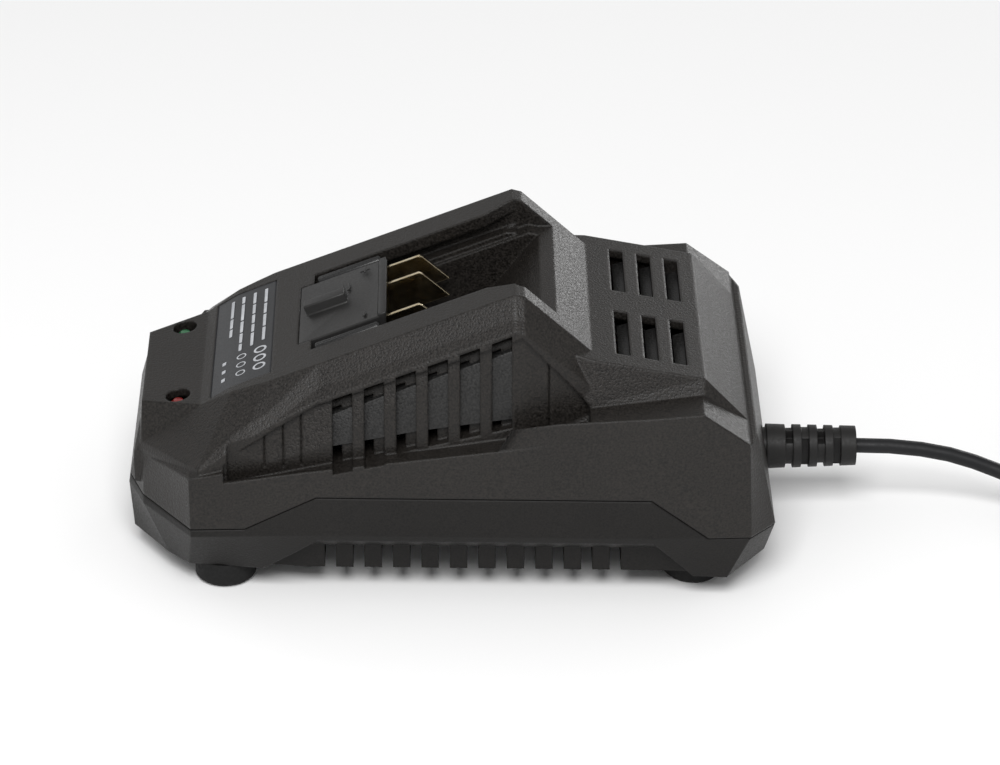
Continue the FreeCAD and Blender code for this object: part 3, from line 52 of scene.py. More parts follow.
def addCamera():
    tilt, turn = math.radians(camera["elevation"]), math.radians(camera["turn"])
    forward = Vector((math.sin(turn) * math.cos(tilt), math.cos(turn) * math.cos(tilt), -math.sin(tilt)))
    place = Vector(camera["target"]) - forward * camera["distance"]
    bpy.ops.object.camera_add(location=place)
    view = bpy.context.object
    view.name = "photoView"
    view.rotation_mode = "QUATERNION"
    view.rotation_quaternion = forward.to_track_quat("-Z", "Y")
    view.data.lens = camera["lens"]
    view.data.sensor_width = camera["sensor"]
    view.data.clip_start = camera["nearest"]
    view.data.clip_end = camera["farthest"]
    bpy.context.scene.camera = view


addCamera()
print("camera set")

mainsLead = {
    "thickness": 0.0044,
    "length": 1.80,
    "route": [      # from the strain relief down to the table and up to the coil
        (0.1170, 0.0000, 0.0213), (0.1380, 0.0000, 0.0213), (0.1650, -0.0045, 0.0124),
        (0.1900, -0.0152, 0.0034), (0.2120, -0.0156, 0.0023)],
    "end": [        # from the coil into the plug's sleeve
        (0.2280, -0.0106, 0.0066), (0.2420, -0.0045, 0.0067), (0.2505, 0.0080, 0.0069),
        (0.2529, 0.0180, 0.0069), (0.2529, 0.0242, 0.0069)],
    "coilCentre": (0.2120, 0.0240),
    "startAngle": -90,  # degrees round the coil at which the route meets it
    "columns": 5,       # turns side by side in each of the two layers
    "innerTurn": 0.0176,
    "lowLayer": 0.0022,
    "highLayer": 0.0066,
    "pointsPerTurn": 24,
    "step": 0.125,      # share of a turn in which the lead moves over to the next column
    "leanIn": 0.0021,   # how far the lead leans inwards while it climbs to the upper layer
    "swell": 1.0087,    # a smooth line runs a little inside its corner points
    "stepsAlong": 4,
    "stepsRound": 3,
}


def easeBetween(low, high, share):
    share = min(max(share, 0.0), 1.0)
    return low + (high - low) * share * share * (3 - 2 * share)


def coilPoints():
    lead = mainsLead
    gap, inner, columns = lead["thickness"], lead["innerTurn"], lead["columns"]
    outer = inner + gap * (columns - 1)
    points = []
    for index in range(1, 2 * columns * lead["pointsPerTurn"] + 1):
        turns = index / lead["pointsPerTurn"]
        whole = int(turns)
        share = (turns - whole) / lead["step"]
        if whole < columns:
            radius = easeBetween(outer - gap * (whole - 1), outer - gap * whole, share)
            height = lead["lowLayer"]
        elif whole == columns:
            radius = inner - math.sin(math.pi * min(share, 1.0)) * lead["leanIn"]
            height = easeBetween(lead["lowLayer"], lead["highLayer"], share)
        else:
            past = whole - columns
            radius = easeBetween(inner + gap * (past - 1), inner + gap * min(past, columns - 1), share)
            height = lead["highLayer"]
        angle = math.radians(lead["startAngle"] + 360 * turns)
        points.append((lead["coilCentre"][0] + radius * lead["swell"] * math.cos(angle),
                       lead["coilCentre"][1] + radius * lead["swell"] * math.sin(angle), height))
    return points


def addLead():
    lead = mainsLead
    points = lead["route"] + coilPoints() + lead["end"]
    line = bpy.data.curves.new("mainsLead", "CURVE")
    line.dimensions = "3D"
    spline = line.splines.new("NURBS")
    spline.points.add(len(points) - 1)
    for point, place in zip(spline.points, points):
        point.co = (*place, 1.0)
        point.radius = lead["thickness"] / 2
    spline.order_u = 3
    spline.use_endpoint_u = True
    spline.resolution_u = lead["stepsAlong"]
    line.bevel_depth = 1.0      # times each point's radius
    line.bevel_resolution = lead["stepsRound"]
    line.use_fill_caps = True
    cord = bpy.data.objects.new("mainsLead", line)
    bpy.context.collection.objects.link(cord)
    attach(cord, "root")
    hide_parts("cord", "cord_coil")
    return cord


leadPiece = addLead()
print("mains lead laid")

plainFinish = {         # what a finish has where it says nothing else
    "patch": 0.02,      # size of the wide patches of colour
    "patchDetail": 2.0,
    "grain": 0.0006,    # size of the fine grain
    "grainDetail": 3.0,
    "stretch": (1.0, 1.0, 1.0),
    "spread": (0.3, 0.7),       # most of a noise's values lie between these
    "speckle": 0.0,     # how much of the colour's change is in the fine grain
    "bump": 0.3,
    "depth": 0.0001,
    "round": 0.0,       # radius of the softened edges
    "roundSamples": 6,
    "metal": 0.0,
    "shine": 0.5,
    "coat": 0.0,
}


def startMaterial(name):
    material = bpy.data.materials.new(name)
    material.use_nodes = True
    tree = material.node_tree
    return material, tree, tree.nodes["Principled BSDF"]


def addNode(tree, kind, **values):
    node = tree.nodes.new(kind)
    for key, value in values.items():
        if hasattr(node, key):
            setattr(node, key, value)
        else:
            node.inputs[key].default_value = value
    return node


def surfaceNoise(tree, size, detail, stretch=(1.0, 1.0, 1.0)):
    place = addNode(tree, "ShaderNodeTexCoord")
    mapping = addNode(tree, "ShaderNodeMapping")
    mapping.inputs["Scale"].default_value = stretch
    noise = addNode(tree, "ShaderNodeTexNoise", Scale=1.0 / size, Detail=detail)
    tree.links.new(place.outputs["Object"], mapping.inputs["Vector"])
    tree.links.new(mapping.outputs["Vector"], noise.inputs["Vector"])
    return noise.outputs["Fac"]


def rangeOf(tree, source, spread, low, high):
    node = addNode(tree, "ShaderNodeMapRange")
    node.inputs["From Min"].default_value = spread[0]
    node.inputs["From Max"].default_value = spread[1]
    node.inputs["To Min"].default_value = low
    node.inputs["To Max"].default_value = high
    tree.links.new(source, node.inputs["Value"])
    return node.outputs["Result"]


def blendColours(tree, share, first, second):
    node = addNode(tree, "ShaderNodeMix", data_type="RGBA")
    node.inputs["A"].default_value = (*first, 1.0)
    node.inputs["B"].default_value = (*second, 1.0)
    tree.links.new(share, node.inputs["Factor"])
    return node.outputs["Result"]


def finish(name, look):
    look = {**plainFinish, **look}
    material, tree, shader = startMaterial(name)
    wide = surfaceNoise(tree, look["patch"], look["patchDetail"])
    fine = surfaceNoise(tree, look["grain"], look["grainDetail"], look["stretch"])
    share = addNode(tree, "ShaderNodeMix", data_type="FLOAT")
    share.inputs["Factor"].default_value = look["speckle"]
    tree.links.new(rangeOf(tree, wide, look["spread"], 0.0, 1.0), share.inputs["A"])
    tree.links.new(rangeOf(tree, fine, look["spread"], 0.0, 1.0), share.inputs["B"])
    colour = blendColours(tree, share.outputs["Result"], *look["colours"])
    tree.links.new(colour, shader.inputs["Base Color"])
    tree.links.new(rangeOf(tree, fine, look["spread"], *look["rough"]), shader.inputs["Roughness"])
    shader.inputs["Metallic"].default_value = look["metal"]
    shader.inputs["Specular IOR Level"].default_value = look["shine"]
    shader.inputs["Coat Weight"].default_value = look["coat"]
    bump = addNode(tree, "ShaderNodeBump", Strength=look["bump"], Distance=look["depth"])
    tree.links.new(fine, bump.inputs["Height"])
    if look["round"]:
        edge = addNode(tree, "ShaderNodeBevel", samples=look["roundSamples"], Radius=look["round"])
        tree.links.new(edge.outputs["Normal"], bump.inputs["Normal"])
    tree.links.new(bump.outputs["Normal"], shader.inputs["Normal"])
    return material


finishes = {
    "housingPlastic": {
        "colours": ((0.0030, 0.0026, 0.0022), (0.0200, 0.0172, 0.0150)), "rough": (0.30, 0.56),
        "bump": 0.9, "depth": 0.00018, "patch": 0.03, "round": 0.0011, "shine": 0.30, "speckle": 0.9},
    "basePlastic": {
        "colours": ((0.0028, 0.0025, 0.0023), (0.0135, 0.0122, 0.0112)), "rough": (0.38, 0.60),
        "grain": 0.0005, "bump": 0.6, "depth": 0.00013, "patch": 0.03, "round": 0.0010,
        "shine": 0.22, "speckle": 0.8},
    "louvrePlastic": {
        "colours": ((0.0030, 0.0030, 0.0030), (0.0220, 0.0215, 0.0210)), "rough": (0.34, 0.56),
        "bump": 0.7, "depth": 0.00018, "shine": 0.35, "speckle": 0.9},
    "barPlastic": {
        "colours": ((0.0070, 0.0070, 0.0072), (0.0100, 0.0100, 0.0102)), "rough": (0.24, 0.38),
        "grain": 0.0008, "patch": 0.01, "shine": 0.45},
    "printPale": {
        "colours": ((0.36, 0.37, 0.39), (0.46, 0.47, 0.49)), "rough": (0.45, 0.60),
        "grain": 0.0005, "bump": 0.1, "depth": 0.00003, "patch": 0.004},
    "blockPlastic": {
        "colours": ((0.0120, 0.0118, 0.0116), (0.0155, 0.0150, 0.0146)), "rough": (0.36, 0.50),
        "round": 0.0004, "shine": 0.35},
    "footRubber": {
        "colours": ((0.0070, 0.0070, 0.0070), (0.0100, 0.0098, 0.0096)), "rough": (0.65, 0.85),
        "grain": 0.0009, "round": 0.0005, "shine": 0.25},
    "leadRubber": {
        "colours": ((0.0060, 0.0062, 0.0070), (0.0090, 0.0092, 0.0100)), "rough": (0.42, 0.60),
        "grain": 0.0012, "bump": 0.2, "shine": 0.25},
    "reliefRubber": {
        "colours": ((0.0080, 0.0076, 0.0074), (0.0115, 0.0108, 0.0104)), "rough": (0.45, 0.62),
        "grain": 0.0008, "round": 0.0005, "shine": 0.28},
    "bladeMetal": {
        "colours": ((0.66, 0.54, 0.34), (0.84, 0.74, 0.54)), "rough": (0.12, 0.24), "metal": 1.0,
        "grain": 0.0030, "bump": 0.05, "depth": 0.00003, "patch": 0.004, "round": 0.0004},
    "screwSteel": {
        "colours": ((0.50, 0.50, 0.50), (0.68, 0.68, 0.66)), "rough": (0.25, 0.45), "metal": 1.0,
        "bump": 0.15},
    "pinMetal": {
        "colours": ((0.62, 0.60, 0.54), (0.76, 0.74, 0.68)), "rough": (0.16, 0.32), "metal": 1.0,
        "grain": 0.0008, "bump": 0.1, "stretch": (1.0, 0.1, 1.0)},
    "sinkAluminium": {
        "colours": ((0.52, 0.53, 0.55), (0.66, 0.67, 0.69)), "rough": (0.28, 0.48), "metal": 1.0,
        "bump": 0.2, "stretch": (1.0, 1.0, 0.05)},
    "boardGreen": {
        "colours": ((0.012, 0.075, 0.030), (0.020, 0.110, 0.045)), "rough": (0.25, 0.40),
        "grain": 0.0015, "bump": 0.15, "patch": 0.006},
    "ferriteGrey": {
        "colours": ((0.035, 0.035, 0.037), (0.060, 0.060, 0.062)), "rough": (0.45, 0.65),
        "grain": 0.0005},
    "tapeYellow": {
        "colours": ((0.42, 0.25, 0.030), (0.55, 0.36, 0.060)), "rough": (0.25, 0.40),
        "grain": 0.0012, "bump": 0.25, "stretch": (0.2, 0.2, 2.0)},
    "canSleeve": {
        "colours": ((0.010, 0.016, 0.055), (0.016, 0.024, 0.080)), "rough": (0.18, 0.30),
        "grain": 0.002, "bump": 0.15},
    "filmBox": {
        "colours": ((0.45, 0.30, 0.03), (0.52, 0.36, 0.05)), "rough": (0.25, 0.38),
        "grain": 0.001, "bump": 0.15},
    "epoxyBlack": {
        "colours": ((0.010, 0.010, 0.010), (0.020, 0.020, 0.020)), "rough": (0.40, 0.55),
        "grain": 0.0004},
    "clipMetal": {
        "colours": ((0.60, 0.55, 0.40), (0.72, 0.68, 0.55)), "rough": (0.25, 0.40), "metal": 1.0,
        "bump": 0.1},
    "fuseGlass": {
        "colours": ((0.55, 0.60, 0.58), (0.66, 0.70, 0.68)), "rough": (0.06, 0.14),
        "grain": 0.002, "bump": 0.05, "coat": 0.4},
    "wireRed": {
        "colours": ((0.30, 0.010, 0.010), (0.40, 0.020, 0.016)), "rough": (0.35, 0.50),
        "grain": 0.001, "bump": 0.15},
    "wireBlack": {
        "colours": ((0.010, 0.010, 0.010), (0.020, 0.020, 0.020)), "rough": (0.35, 0.50),
        "grain": 0.001, "bump": 0.15},
    "wireYellow": {
        "colours": ((0.50, 0.36, 0.02), (0.60, 0.45, 0.04)), "rough": (0.35, 0.50),
        "grain": 0.001, "bump": 0.15},
    "wireBrown": {
        "colours": ((0.080, 0.028, 0.010), (0.11, 0.040, 0.016)), "rough": (0.35, 0.50),
        "grain": 0.001, "bump": 0.15},
    "wireBlue": {
        "colours": ((0.012, 0.045, 0.22), (0.020, 0.065, 0.30)), "rough": (0.35, 0.50),
        "grain": 0.001, "bump": 0.15},
    "ribbonGrey": {
        "colours": ((0.25, 0.25, 0.25), (0.33, 0.33, 0.33)), "rough": (0.40, 0.55),
        "grain": 0.0012, "bump": 0.2, "stretch": (0.1, 3.0, 0.1)},
    "nylonWhite": {
        "colours": ((0.52, 0.51, 0.46), (0.60, 0.59, 0.54)), "rough": (0.40, 0.55),
        "grain": 0.0008, "bump": 0.15},
    "lensRed": {
        "colours": ((0.13, 0.008, 0.008), (0.19, 0.014, 0.012)), "rough": (0.12, 0.25),
        "grain": 0.0008, "bump": 0.1, "coat": 0.6},
    "lensGreen": {
        "colours": ((0.012, 0.075, 0.030), (0.020, 0.11, 0.045)), "rough": (0.12, 0.25),
        "grain": 0.0008, "bump": 0.1, "coat": 0.6},
    "labelFilm": {
        "colours": ((0.0105, 0.0112, 0.0132), (0.0135, 0.0145, 0.0168)), "rough": (0.30, 0.42),
        "bump": 0.25, "shine": 0.4},
}
materials = {name: finish(name, look) for name, look in finishes.items()}

nodeFinishes = {
    "upper_housing": "housingPlastic", "lower_housing": "basePlastic",
    "foot_front_near": "footRubber", "foot_front_far": "footRubber",
    "foot_rear_near": "footRubber", "foot_rear_far": "footRubber",
    "housing_screws": "screwSteel", "lamp_board_screws": "screwSteel",
    "board_screws": "screwSteel", "clamp_screws": "screwSteel",
    "terminal_block": "blockPlastic", "rating_label": "labelFilm",
    "blade_positive": "bladeMetal", "blade_sense": "bladeMetal", "blade_negative": "bladeMetal",
    "lamp_red": "lensRed", "lamp_green": "lensGreen",
    "lamp_board": "boardGreen", "main_board": "boardGreen", "ribbon_cable": "ribbonGrey",
    "transformer_bobbin": "epoxyBlack", "transformer_core": "ferriteGrey",
    "transformer_winding": "tapeYellow", "output_choke": "ferriteGrey",
    "bulk_capacitor": "canSleeve", "output_capacitors": "canSleeve", "filter_capacitor": "filmBox",
    "switch_heat_sink": "sinkAluminium", "diode_heat_sink": "sinkAluminium",
    "switch_transistor": "epoxyBlack", "output_diode": "epoxyBlack", "bridge_rectifier": "epoxyBlack",
    "control_chip": "epoxyBlack", "optocoupler": "epoxyBlack",
    "fuse": "fuseGlass", "fuse_clips": "clipMetal",
    "lead_positive": "wireRed", "lead_sense": "wireYellow", "lead_negative": "wireBlack",
    "mains_wire_live": "wireBrown", "mains_wire_neutral": "wireBlue",
    "strain_relief": "reliefRubber", "cord_clamp": "nylonWhite",
    "plug_body": "reliefRubber", "plug_pins": "pinMetal",
    "cord": "leadRubber", "cord_coil": "leadRubber", "cord_tail": "leadRubber",
}


def dressNodes():
    for name, part in nodes.items():
        part.data.materials.clear()
        part.data.materials.append(materials[nodeFinishes[name]])
        for face in part.data.polygons:
            face.material_index = 0
    leadPiece.data.materials.append(materials["leadRubber"])


dressNodes()
print("materials set")

shaping = {
    "mergeWithin": 0.00001,
    "flatUnder": 0.6,       # degrees under which two faces become one
    "smoothUnder": 32.0,    # degrees under which an edge is shaded smooth
}
topSlope = {        # of the sloping top, as degrees and as height for each length
    "degrees": 21.4,
    "rise": 0.392,
}


def selectOnly(piece):
    bpy.ops.object.select_all(action="DESELECT")
    piece.select_set(True)
    bpy.context.view_layer.objects.active = piece


def mergedCopy(node, name):
    piece = bpy.data.objects.new(name, nodes[node].data.copy())
    bpy.context.collection.objects.link(piece)
    selectOnly(piece)
    bpy.ops.object.mode_set(mode="EDIT")
    bpy.ops.mesh.select_all(action="SELECT")
    bpy.ops.mesh.remove_doubles(threshold=shaping["mergeWithin"])
    bpy.ops.mesh.dissolve_limited(angle_limit=math.radians(shaping["flatUnder"]))
    bpy.ops.object.mode_set(mode="OBJECT")
    return piece


def bevelEdges(piece, width, segments, wanted):
    selectOnly(piece)
    bpy.ops.object.mode_set(mode="EDIT")
    bpy.ops.mesh.select_mode(type="EDGE")
    bpy.ops.mesh.select_all(action="DESELECT")
    mesh = bmesh.from_edit_mesh(piece.data)
    for edge in mesh.edges:
        if len(edge.link_faces) == 2 and wanted(edge):
            edge.select = True
    mesh.select_flush(True)
    bmesh.update_edit_mesh(piece.data)
    if any(edge.select for edge in mesh.edges):
        bpy.ops.mesh.bevel(offset=width, segments=segments, affect="EDGES", clamp_overlap=False)
    bpy.ops.object.mode_set(mode="OBJECT")


def faceOutwards(piece):
    selectOnly(piece)
    bpy.ops.object.mode_set(mode="EDIT")
    bpy.ops.mesh.select_all(action="SELECT")
    bpy.ops.mesh.normals_make_consistent(inside=False)
    bpy.ops.object.mode_set(mode="OBJECT")


def crease(edge):
    return math.degrees(edge.calc_face_angle(0.0))


def heightBetween(x, start, end):
    return start[1] + (end[1] - start[1]) * (x - start[0]) / (end[0] - start[0])


def newCube(name):
    bpy.ops.mesh.primitive_cube_add(size=1.0)
    piece = bpy.context.object
    piece.name = name
    return piece


def cornerBox(name, corners):
    # the corners come in the order of a new cube's, by x, then y, then z
    piece = newCube(name)
    for corner, place in zip(piece.data.vertices, corners):
        corner.co = place
    return piece


def settle(piece, finishName, *replaced):
    piece.data.materials.clear()
    piece.data.materials.append(materials[finishName])
    for face in piece.data.polygons:
        face.material_index = 0
    selectOnly(piece)
    bpy.ops.object.transform_apply(location=True, rotation=True, scale=True)
    bpy.ops.object.shade_smooth_by_angle(angle=math.radians(shaping["smoothUnder"]))
    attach(piece, "root")
    if replaced:
        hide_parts(*replaced)


def joinAll(parts, name):
    bpy.ops.object.select_all(action="DESELECT")
    for part in parts:
        part.select_set(True)
    bpy.context.view_layer.objects.active = parts[0]
    bpy.ops.object.join()
    parts[0].name = name
    return parts[0]


terminalBlock = {
    "bevel": 0.0005,
    "bevelSteps": 3,
    "longerThan": 0.003,    # the edges that are rounded are longer and sharper than this,
    "sharperThan": 50,      # in degrees,
    "above": 0.0645,        # and reach above this height
}


def addBlock():
    look = terminalBlock
    block = mergedCopy("terminal_block", "terminalBlock")

    def outerEdge(edge):
        top = max(end.co.z for end in edge.verts)
        longEnough = edge.calc_length() > look["longerThan"]
        return longEnough and crease(edge) > look["sharperThan"] and top > look["above"]

    bevelEdges(block, look["bevel"], look["bevelSteps"], outerEdge)
    settle(block, "blockPlastic", "terminal_block")


blockMarks = {
    "plus": (-0.0236, 0.0123),
    "minus": (-0.0236, -0.0130),
    "bars": (-0.0300, 0.0062),      # the first of the two bars between them
    "barGap": 0.0018,
    "barLong": 1.4,                 # times an arm
    "arm": 0.0028,
    "wide": 0.0007,
    "raise": 0.00025,
    "sink": 0.0001,
    "bevel": 0.00012,
    "bevelSteps": 2,
    "topOver": 0.0001,              # rounded edges lie higher than this above the block
    "faceStart": (-0.04212, 0.06517),
    "faceEnd": (-0.01985, 0.07465),
}


def blockHeight(x):
    return heightBetween(x, blockMarks["faceStart"], blockMarks["faceEnd"])


def addRaised(x, y, long, across):
    look = blockMarks
    piece = newCube("raised")
    for corner in piece.data.vertices:
        place = corner.co
        spot = x + place.x * long
        height = blockHeight(spot) - look["sink"] + (place.z + 0.5) * (look["raise"] + look["sink"])
        corner.co = (spot, y + place.y * across, height)

    def topEdge(edge):
        return min(end.co.z - blockHeight(end.co.x) for end in edge.verts) > look["topOver"]

    bevelEdges(piece, look["bevel"], look["bevelSteps"], topEdge)
    return piece


def addBlockMarks():
    look = blockMarks
    arm, wide = look["arm"], look["wide"]
    x, y = look["bars"]
    marks = [addRaised(*look["plus"], arm, wide), addRaised(*look["plus"], wide, arm),
             addRaised(*look["minus"], wide, arm), addRaised(x, y, wide, arm * look["barLong"]),
             addRaised(x + look["barGap"], y, wide, arm * look["barLong"])]
    settle(joinAll(marks, "blockMarks"), "blockPlastic")


addBlock()
addBlockMarks()
print("terminal block made")

louvres = {
    "first": -0.03225,      # start of the first gap between the ribs
    "pitch": 0.00883,
    "gap": 0.00553,
    "count": 6,
    "topDrop": 0.0053,      # below the arch over the gap
    "lowDrop": 0.0012,      # below the ledge under it
    "faceTop": 0.0382,
    "faceLow": 0.0412,
    "back": 0.0346,
    "archStart": (-0.0322, 0.0608),
    "ledgeStart": (-0.066, 0.0414),
    "ledgeRise": 0.1966,
    "ledgeBend": (-0.008, 0.0528),
    "ledgeRiseAfter": 0.142,
    "bevel": 0.0004,
    "bevelSteps": 2,
    "nearTop": 0.0003,      # the rounded edges lie this near to a block's top
}


def archHeight(x):
    startX, startZ = louvres["archStart"]
    return startZ + topSlope["rise"] * (x - startX)


def ledgeHeight(x):
    startX, startZ = louvres["ledgeStart"]
    bendX, bendZ = louvres["ledgeBend"]
    if x < bendX:
        return startZ + louvres["ledgeRise"] * (x - startX)
    return bendZ + louvres["ledgeRiseAfter"] * (x - bendX)


def addLouvre(x0, side):
    look = louvres
    faceLow, faceTop, back = side * look["faceLow"], side * look["faceTop"], side * look["back"]
    corners = []
    for x in (x0, x0 + look["gap"]):
        low, top = ledgeHeight(x) - look["lowDrop"], archHeight(x) - look["topDrop"]
        corners += [(x, faceLow, low), (x, faceTop, top), (x, back, low), (x, back, top)]
    block = cornerBox("louvre", corners)
    faceOutwards(block)
    over = archHeight(x0) - look["topDrop"] - look["nearTop"]
    bevelEdges(block, look["bevel"], look["bevelSteps"],
               lambda edge: min(end.co.z for end in edge.verts) > over)
    return block


def addLouvres():
    starts = [louvres["first"] + louvres["pitch"] * index for index in range(louvres["count"])]
    blocks = [addLouvre(x0, side) for side in (-1, 1) for x0 in starts]
    settle(joinAll(blocks, "ventLouvres"), "louvrePlastic")


deckVanes = {
    "first": 0.0464,        # start of the first slot
    "pitch": 0.0079,
    "count": 3,
    "width": 0.0039,
    "inner": 0.0059,
    "long": 0.0246,
    "start": 0.0009,        # dark gap along the left of each slot
    "past": 0.0002,         # how far a vane goes in under the right of its slot
    "ends": 0.0003,         # and into the slot's two ends
    "sink": 0.0034,
    "tilt": 0.0016,         # how much lower its left side lies
    "thick": 0.0012,
    "bevel": 0.0002,
    "bevelSteps": 2,
    "deckStart": (0.0396, 0.0710),
    "deckRun": 0.0312,
    "deckFall": 0.0062,
}


def deckHeight(x):
    startX, startZ = deckVanes["deckStart"]
    return startZ - (x - startX) * deckVanes["deckFall"] / deckVanes["deckRun"]


def addVane(slotStart, side):
    look = deckVanes
    x0, x1 = slotStart + look["start"], slotStart + look["width"] + look["past"]
    near, far = sorted((side * (look["inner"] - look["ends"]),
                        side * (look["inner"] + look["long"] + look["ends"])))
    z0, z1 = deckHeight(x0) - look["sink"] - look["tilt"], deckHeight(x1) - look["sink"]
    corners = []
    for x, top in ((x0, z0), (x1, z1)):
        low = top - look["thick"]
        corners += [(x, near, low), (x, near, top), (x, far, low), (x, far, top)]
    vane = cornerBox("vane", corners)
    bevelEdges(vane, look["bevel"], look["bevelSteps"], lambda edge: True)
    return vane


def addDeckVanes():
    starts = [deckVanes["first"] + deckVanes["pitch"] * index for index in range(deckVanes["count"])]
    vanes = [addVane(slotStart, side) for side in (-1, 1) for slotStart in starts]
    settle(joinAll(vanes, "deckVanes"), "louvrePlastic")


addLouvres()
addDeckVanes()
print("vents made")

slotBars = {
    "x0": -0.0370,
    "x1": -0.0188,
    "across": 0.0193,
    "radius": 0.0019,
    "sink": 0.0022,
    "sides": 24,
    "bevel": 0.0008,
    "bevelSteps": 3,
    "sharperThan": 60,      # degrees, which finds the rims of the two ends
    "slopeTop": (0.0183, 0.0889),
}


def slopeHeight(x):
    topX, topZ = slotBars["slopeTop"]
    return topZ - (topX - x) * topSlope["rise"]


def addSlotBars():
    look = slotBars
    middle = (look["x0"] + look["x1"]) / 2
    length = (look["x1"] - look["x0"]) / math.cos(math.radians(topSlope["degrees"]))
    bars = []
    for side in (-1, 1):
        bpy.ops.mesh.primitive_cylinder_add(
            vertices=look["sides"], radius=look["radius"], depth=length,
            location=(middle, side * look["across"], slopeHeight(middle) - look["sink"]),
            rotation=(0.0, math.radians(90 - topSlope["degrees"]), 0.0))
        bar = bpy.context.object
        bpy.ops.object.transform_apply(location=True, rotation=True, scale=True)
        bevelEdges(bar, look["bevel"], look["bevelSteps"], lambda edge: crease(edge) > look["sharperThan"])
        bars.append(bar)
    settle(joinAll(bars, "slotBars"), "barPlastic")


addSlotBars()
print("slot bars made")

label = {
    "profile": [(-0.0680, 0.05280), (-0.0605, 0.05755), (-0.0555, 0.05968), (-0.0494, 0.06217),
                (-0.0480, 0.06274)],
    "filmBevel": 0.00052,
    "filmBevelSteps": 3,
    "filmUpright": 0.0003,      # a corner edge of the film climbs more than this,
    "filmLean": 0.0001,         # and leans less than this
    "lineX": [-0.0523, -0.0556, -0.0589, -0.0620],
    "barWide": 0.0009,
    "words": [       # each word's start and end along a line
        [(0.0235, 0.0160), (0.0150, 0.0095), (0.0085, 0.0020), (0.0010, -0.0060)],
        [(0.0235, 0.0175), (0.0165, 0.0115), (0.0105, 0.0060), (0.0050, 0.0010), (0.0000, -0.0070)],
        [(0.0235, 0.0200), (0.0190, 0.0100), (0.0090, 0.0030), (0.0020, -0.0030), (-0.0040, -0.0075)],
        [(0.0235, 0.0140), (0.0130, 0.0080), (0.0070, 0.0030)],
    ],
    "rings": [(-0.0530, y) for y in (-0.0110, -0.0157, -0.0204)],
    "ringRadius": 0.0015,
    "ringTube": 0.00032,
    "smallRings": [(-0.0583, y) for y in (-0.0112, -0.0158, -0.0204)],
    "smallRadius": 0.0012,
    "smallTube": 0.00018,
    "ringSteps": (32, 6),       # round a ring and round its tube
    "dots": [(-0.0632, y) for y in (-0.0112, -0.0158, -0.0204)],
    "dotWide": 0.0011,
    "dotHalf": 0.0007,
    "lift": 0.00002,
    "thick": 0.00005,
    "markBevel": 0.00018,
    "markBevelSteps": 2,
    "markUpright": 0.00001,
}


def labelHeight(x):
    profile = label["profile"]
    for start, end in zip(profile, profile[1:]):
        if x <= end[0]:
            return heightBetween(x, start, end)
    return profile[-1][1]


def layOnLabel(piece):
    for corner in piece.data.vertices:
        corner.co.z = labelHeight(corner.co.x) + label["lift"] + corner.co.z


def climb(edge):
    return abs(edge.verts[0].co.z - edge.verts[1].co.z)


def lean(edge):
    return abs(edge.verts[0].co.x - edge.verts[1].co.x)


def addFilm():
    film = mergedCopy("rating_label", "labelFilm")
    bevelEdges(film, label["filmBevel"], label["filmBevelSteps"],
               lambda edge: climb(edge) > label["filmUpright"] and lean(edge) < label["filmLean"])
    settle(film, "labelFilm", "rating_label")


def addMark(x, y0, y1, wide):
    piece = newCube("mark")
    for corner in piece.data.vertices:
        place = corner.co
        across = (y0 + y1) / 2 + place.y * abs(y1 - y0)
        corner.co = (x + place.x * wide, across, (place.z + 0.5) * label["thick"])
    bevelEdges(piece, label["markBevel"], label["markBevelSteps"],
               lambda edge: climb(edge) > label["markUpright"])
    layOnLabel(piece)
    return piece


def addRing(x, y, radius, tube):
    around, aroundTube = label["ringSteps"]
    bpy.ops.mesh.primitive_torus_add(major_radius=radius, minor_radius=tube,
                                     major_segments=around, minor_segments=aroundTube)
    piece = bpy.context.object
    for corner in piece.data.vertices:
        place = corner.co
        corner.co = (x + place.x, y + place.y, (place.z / tube + 1.0) * label["thick"] / 2)
    layOnLabel(piece)
    return piece


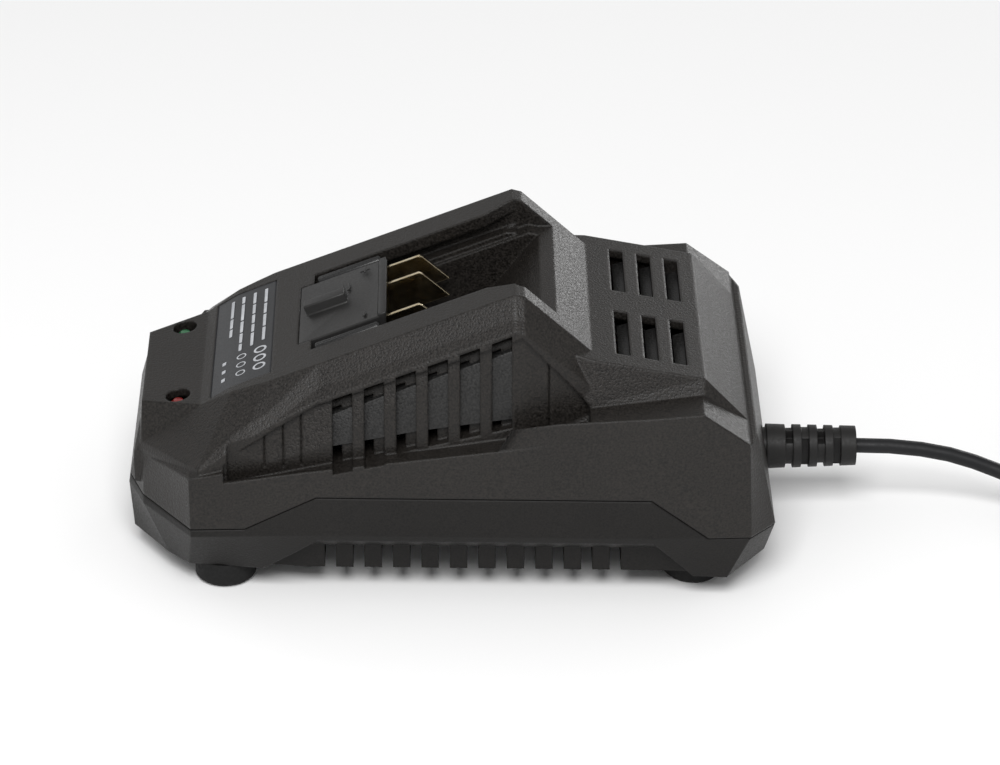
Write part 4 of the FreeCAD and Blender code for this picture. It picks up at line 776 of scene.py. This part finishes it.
def addPrint():
    half = label["dotHalf"]
    marks = []
    for x, words in zip(label["lineX"], label["words"]):
        marks += [addMark(x, start, end, label["barWide"]) for start, end in words]
    marks += [addRing(x, y, label["ringRadius"], label["ringTube"]) for x, y in label["rings"]]
    marks += [addRing(x, y, label["smallRadius"], label["smallTube"]) for x, y in label["smallRings"]]
    marks += [addMark(x, y + half, y - half, label["dotWide"]) for x, y in label["dots"]]
    settle(joinAll(marks, "labelPrint"), "printPale")


addFilm()
addPrint()
print("label made")

studio = {
    "floorSize": 14.0,
    "floorColour": (0.86, 0.86, 0.86),
    "floorRough": 0.9,
    "floorShine": 0.1,
    "lamps": [      # name, place, aim, size, power
        ("keyLight", (-0.05, -0.80, 1.05), (0.0, 0.0, 0.04), 0.60, 15.0),
        ("leftLight", (-0.80, 0.75, 0.62), (0.0, 0.0, 0.05), 0.55, 1.0),
        ("rearLight", (0.62, 1.05, 0.24), (0.03, 0.0, 0.06), 0.36, 2.4),
    ],
    "worldColour": (1.0, 1.0, 1.0),
    "worldLight": 0.55,
}


def addFloor():
    bpy.ops.mesh.primitive_plane_add(size=studio["floorSize"], location=(0.0, 0.0, 0.0))
    floor = bpy.context.object
    floor.name = "studioFloor"
    material, tree, shader = startMaterial("studioFloor")
    shader.inputs["Base Color"].default_value = (*studio["floorColour"], 1.0)
    shader.inputs["Roughness"].default_value = studio["floorRough"]
    shader.inputs["Specular IOR Level"].default_value = studio["floorShine"]
    floor.data.materials.append(material)


def addLamps():
    for name, place, aim, size, power in studio["lamps"]:
        bpy.ops.object.light_add(type="AREA", location=place)
        lamp = bpy.context.object
        lamp.name = name
        lamp.data.size = size
        lamp.data.energy = power
        lamp.rotation_mode = "QUATERNION"
        lamp.rotation_quaternion = (Vector(aim) - Vector(place)).to_track_quat("-Z", "Y")


def addWorld():
    world = bpy.data.worlds.new("studioWorld")
    world.use_nodes = True
    background = world.node_tree.nodes["Background"]
    background.inputs["Color"].default_value = (*studio["worldColour"], 1.0)
    background.inputs["Strength"].default_value = studio["worldLight"]
    bpy.context.scene.world = world
    bpy.context.scene.view_settings.view_transform = "Standard"


addFloor()
addLamps()
addWorld()
print("studio set")
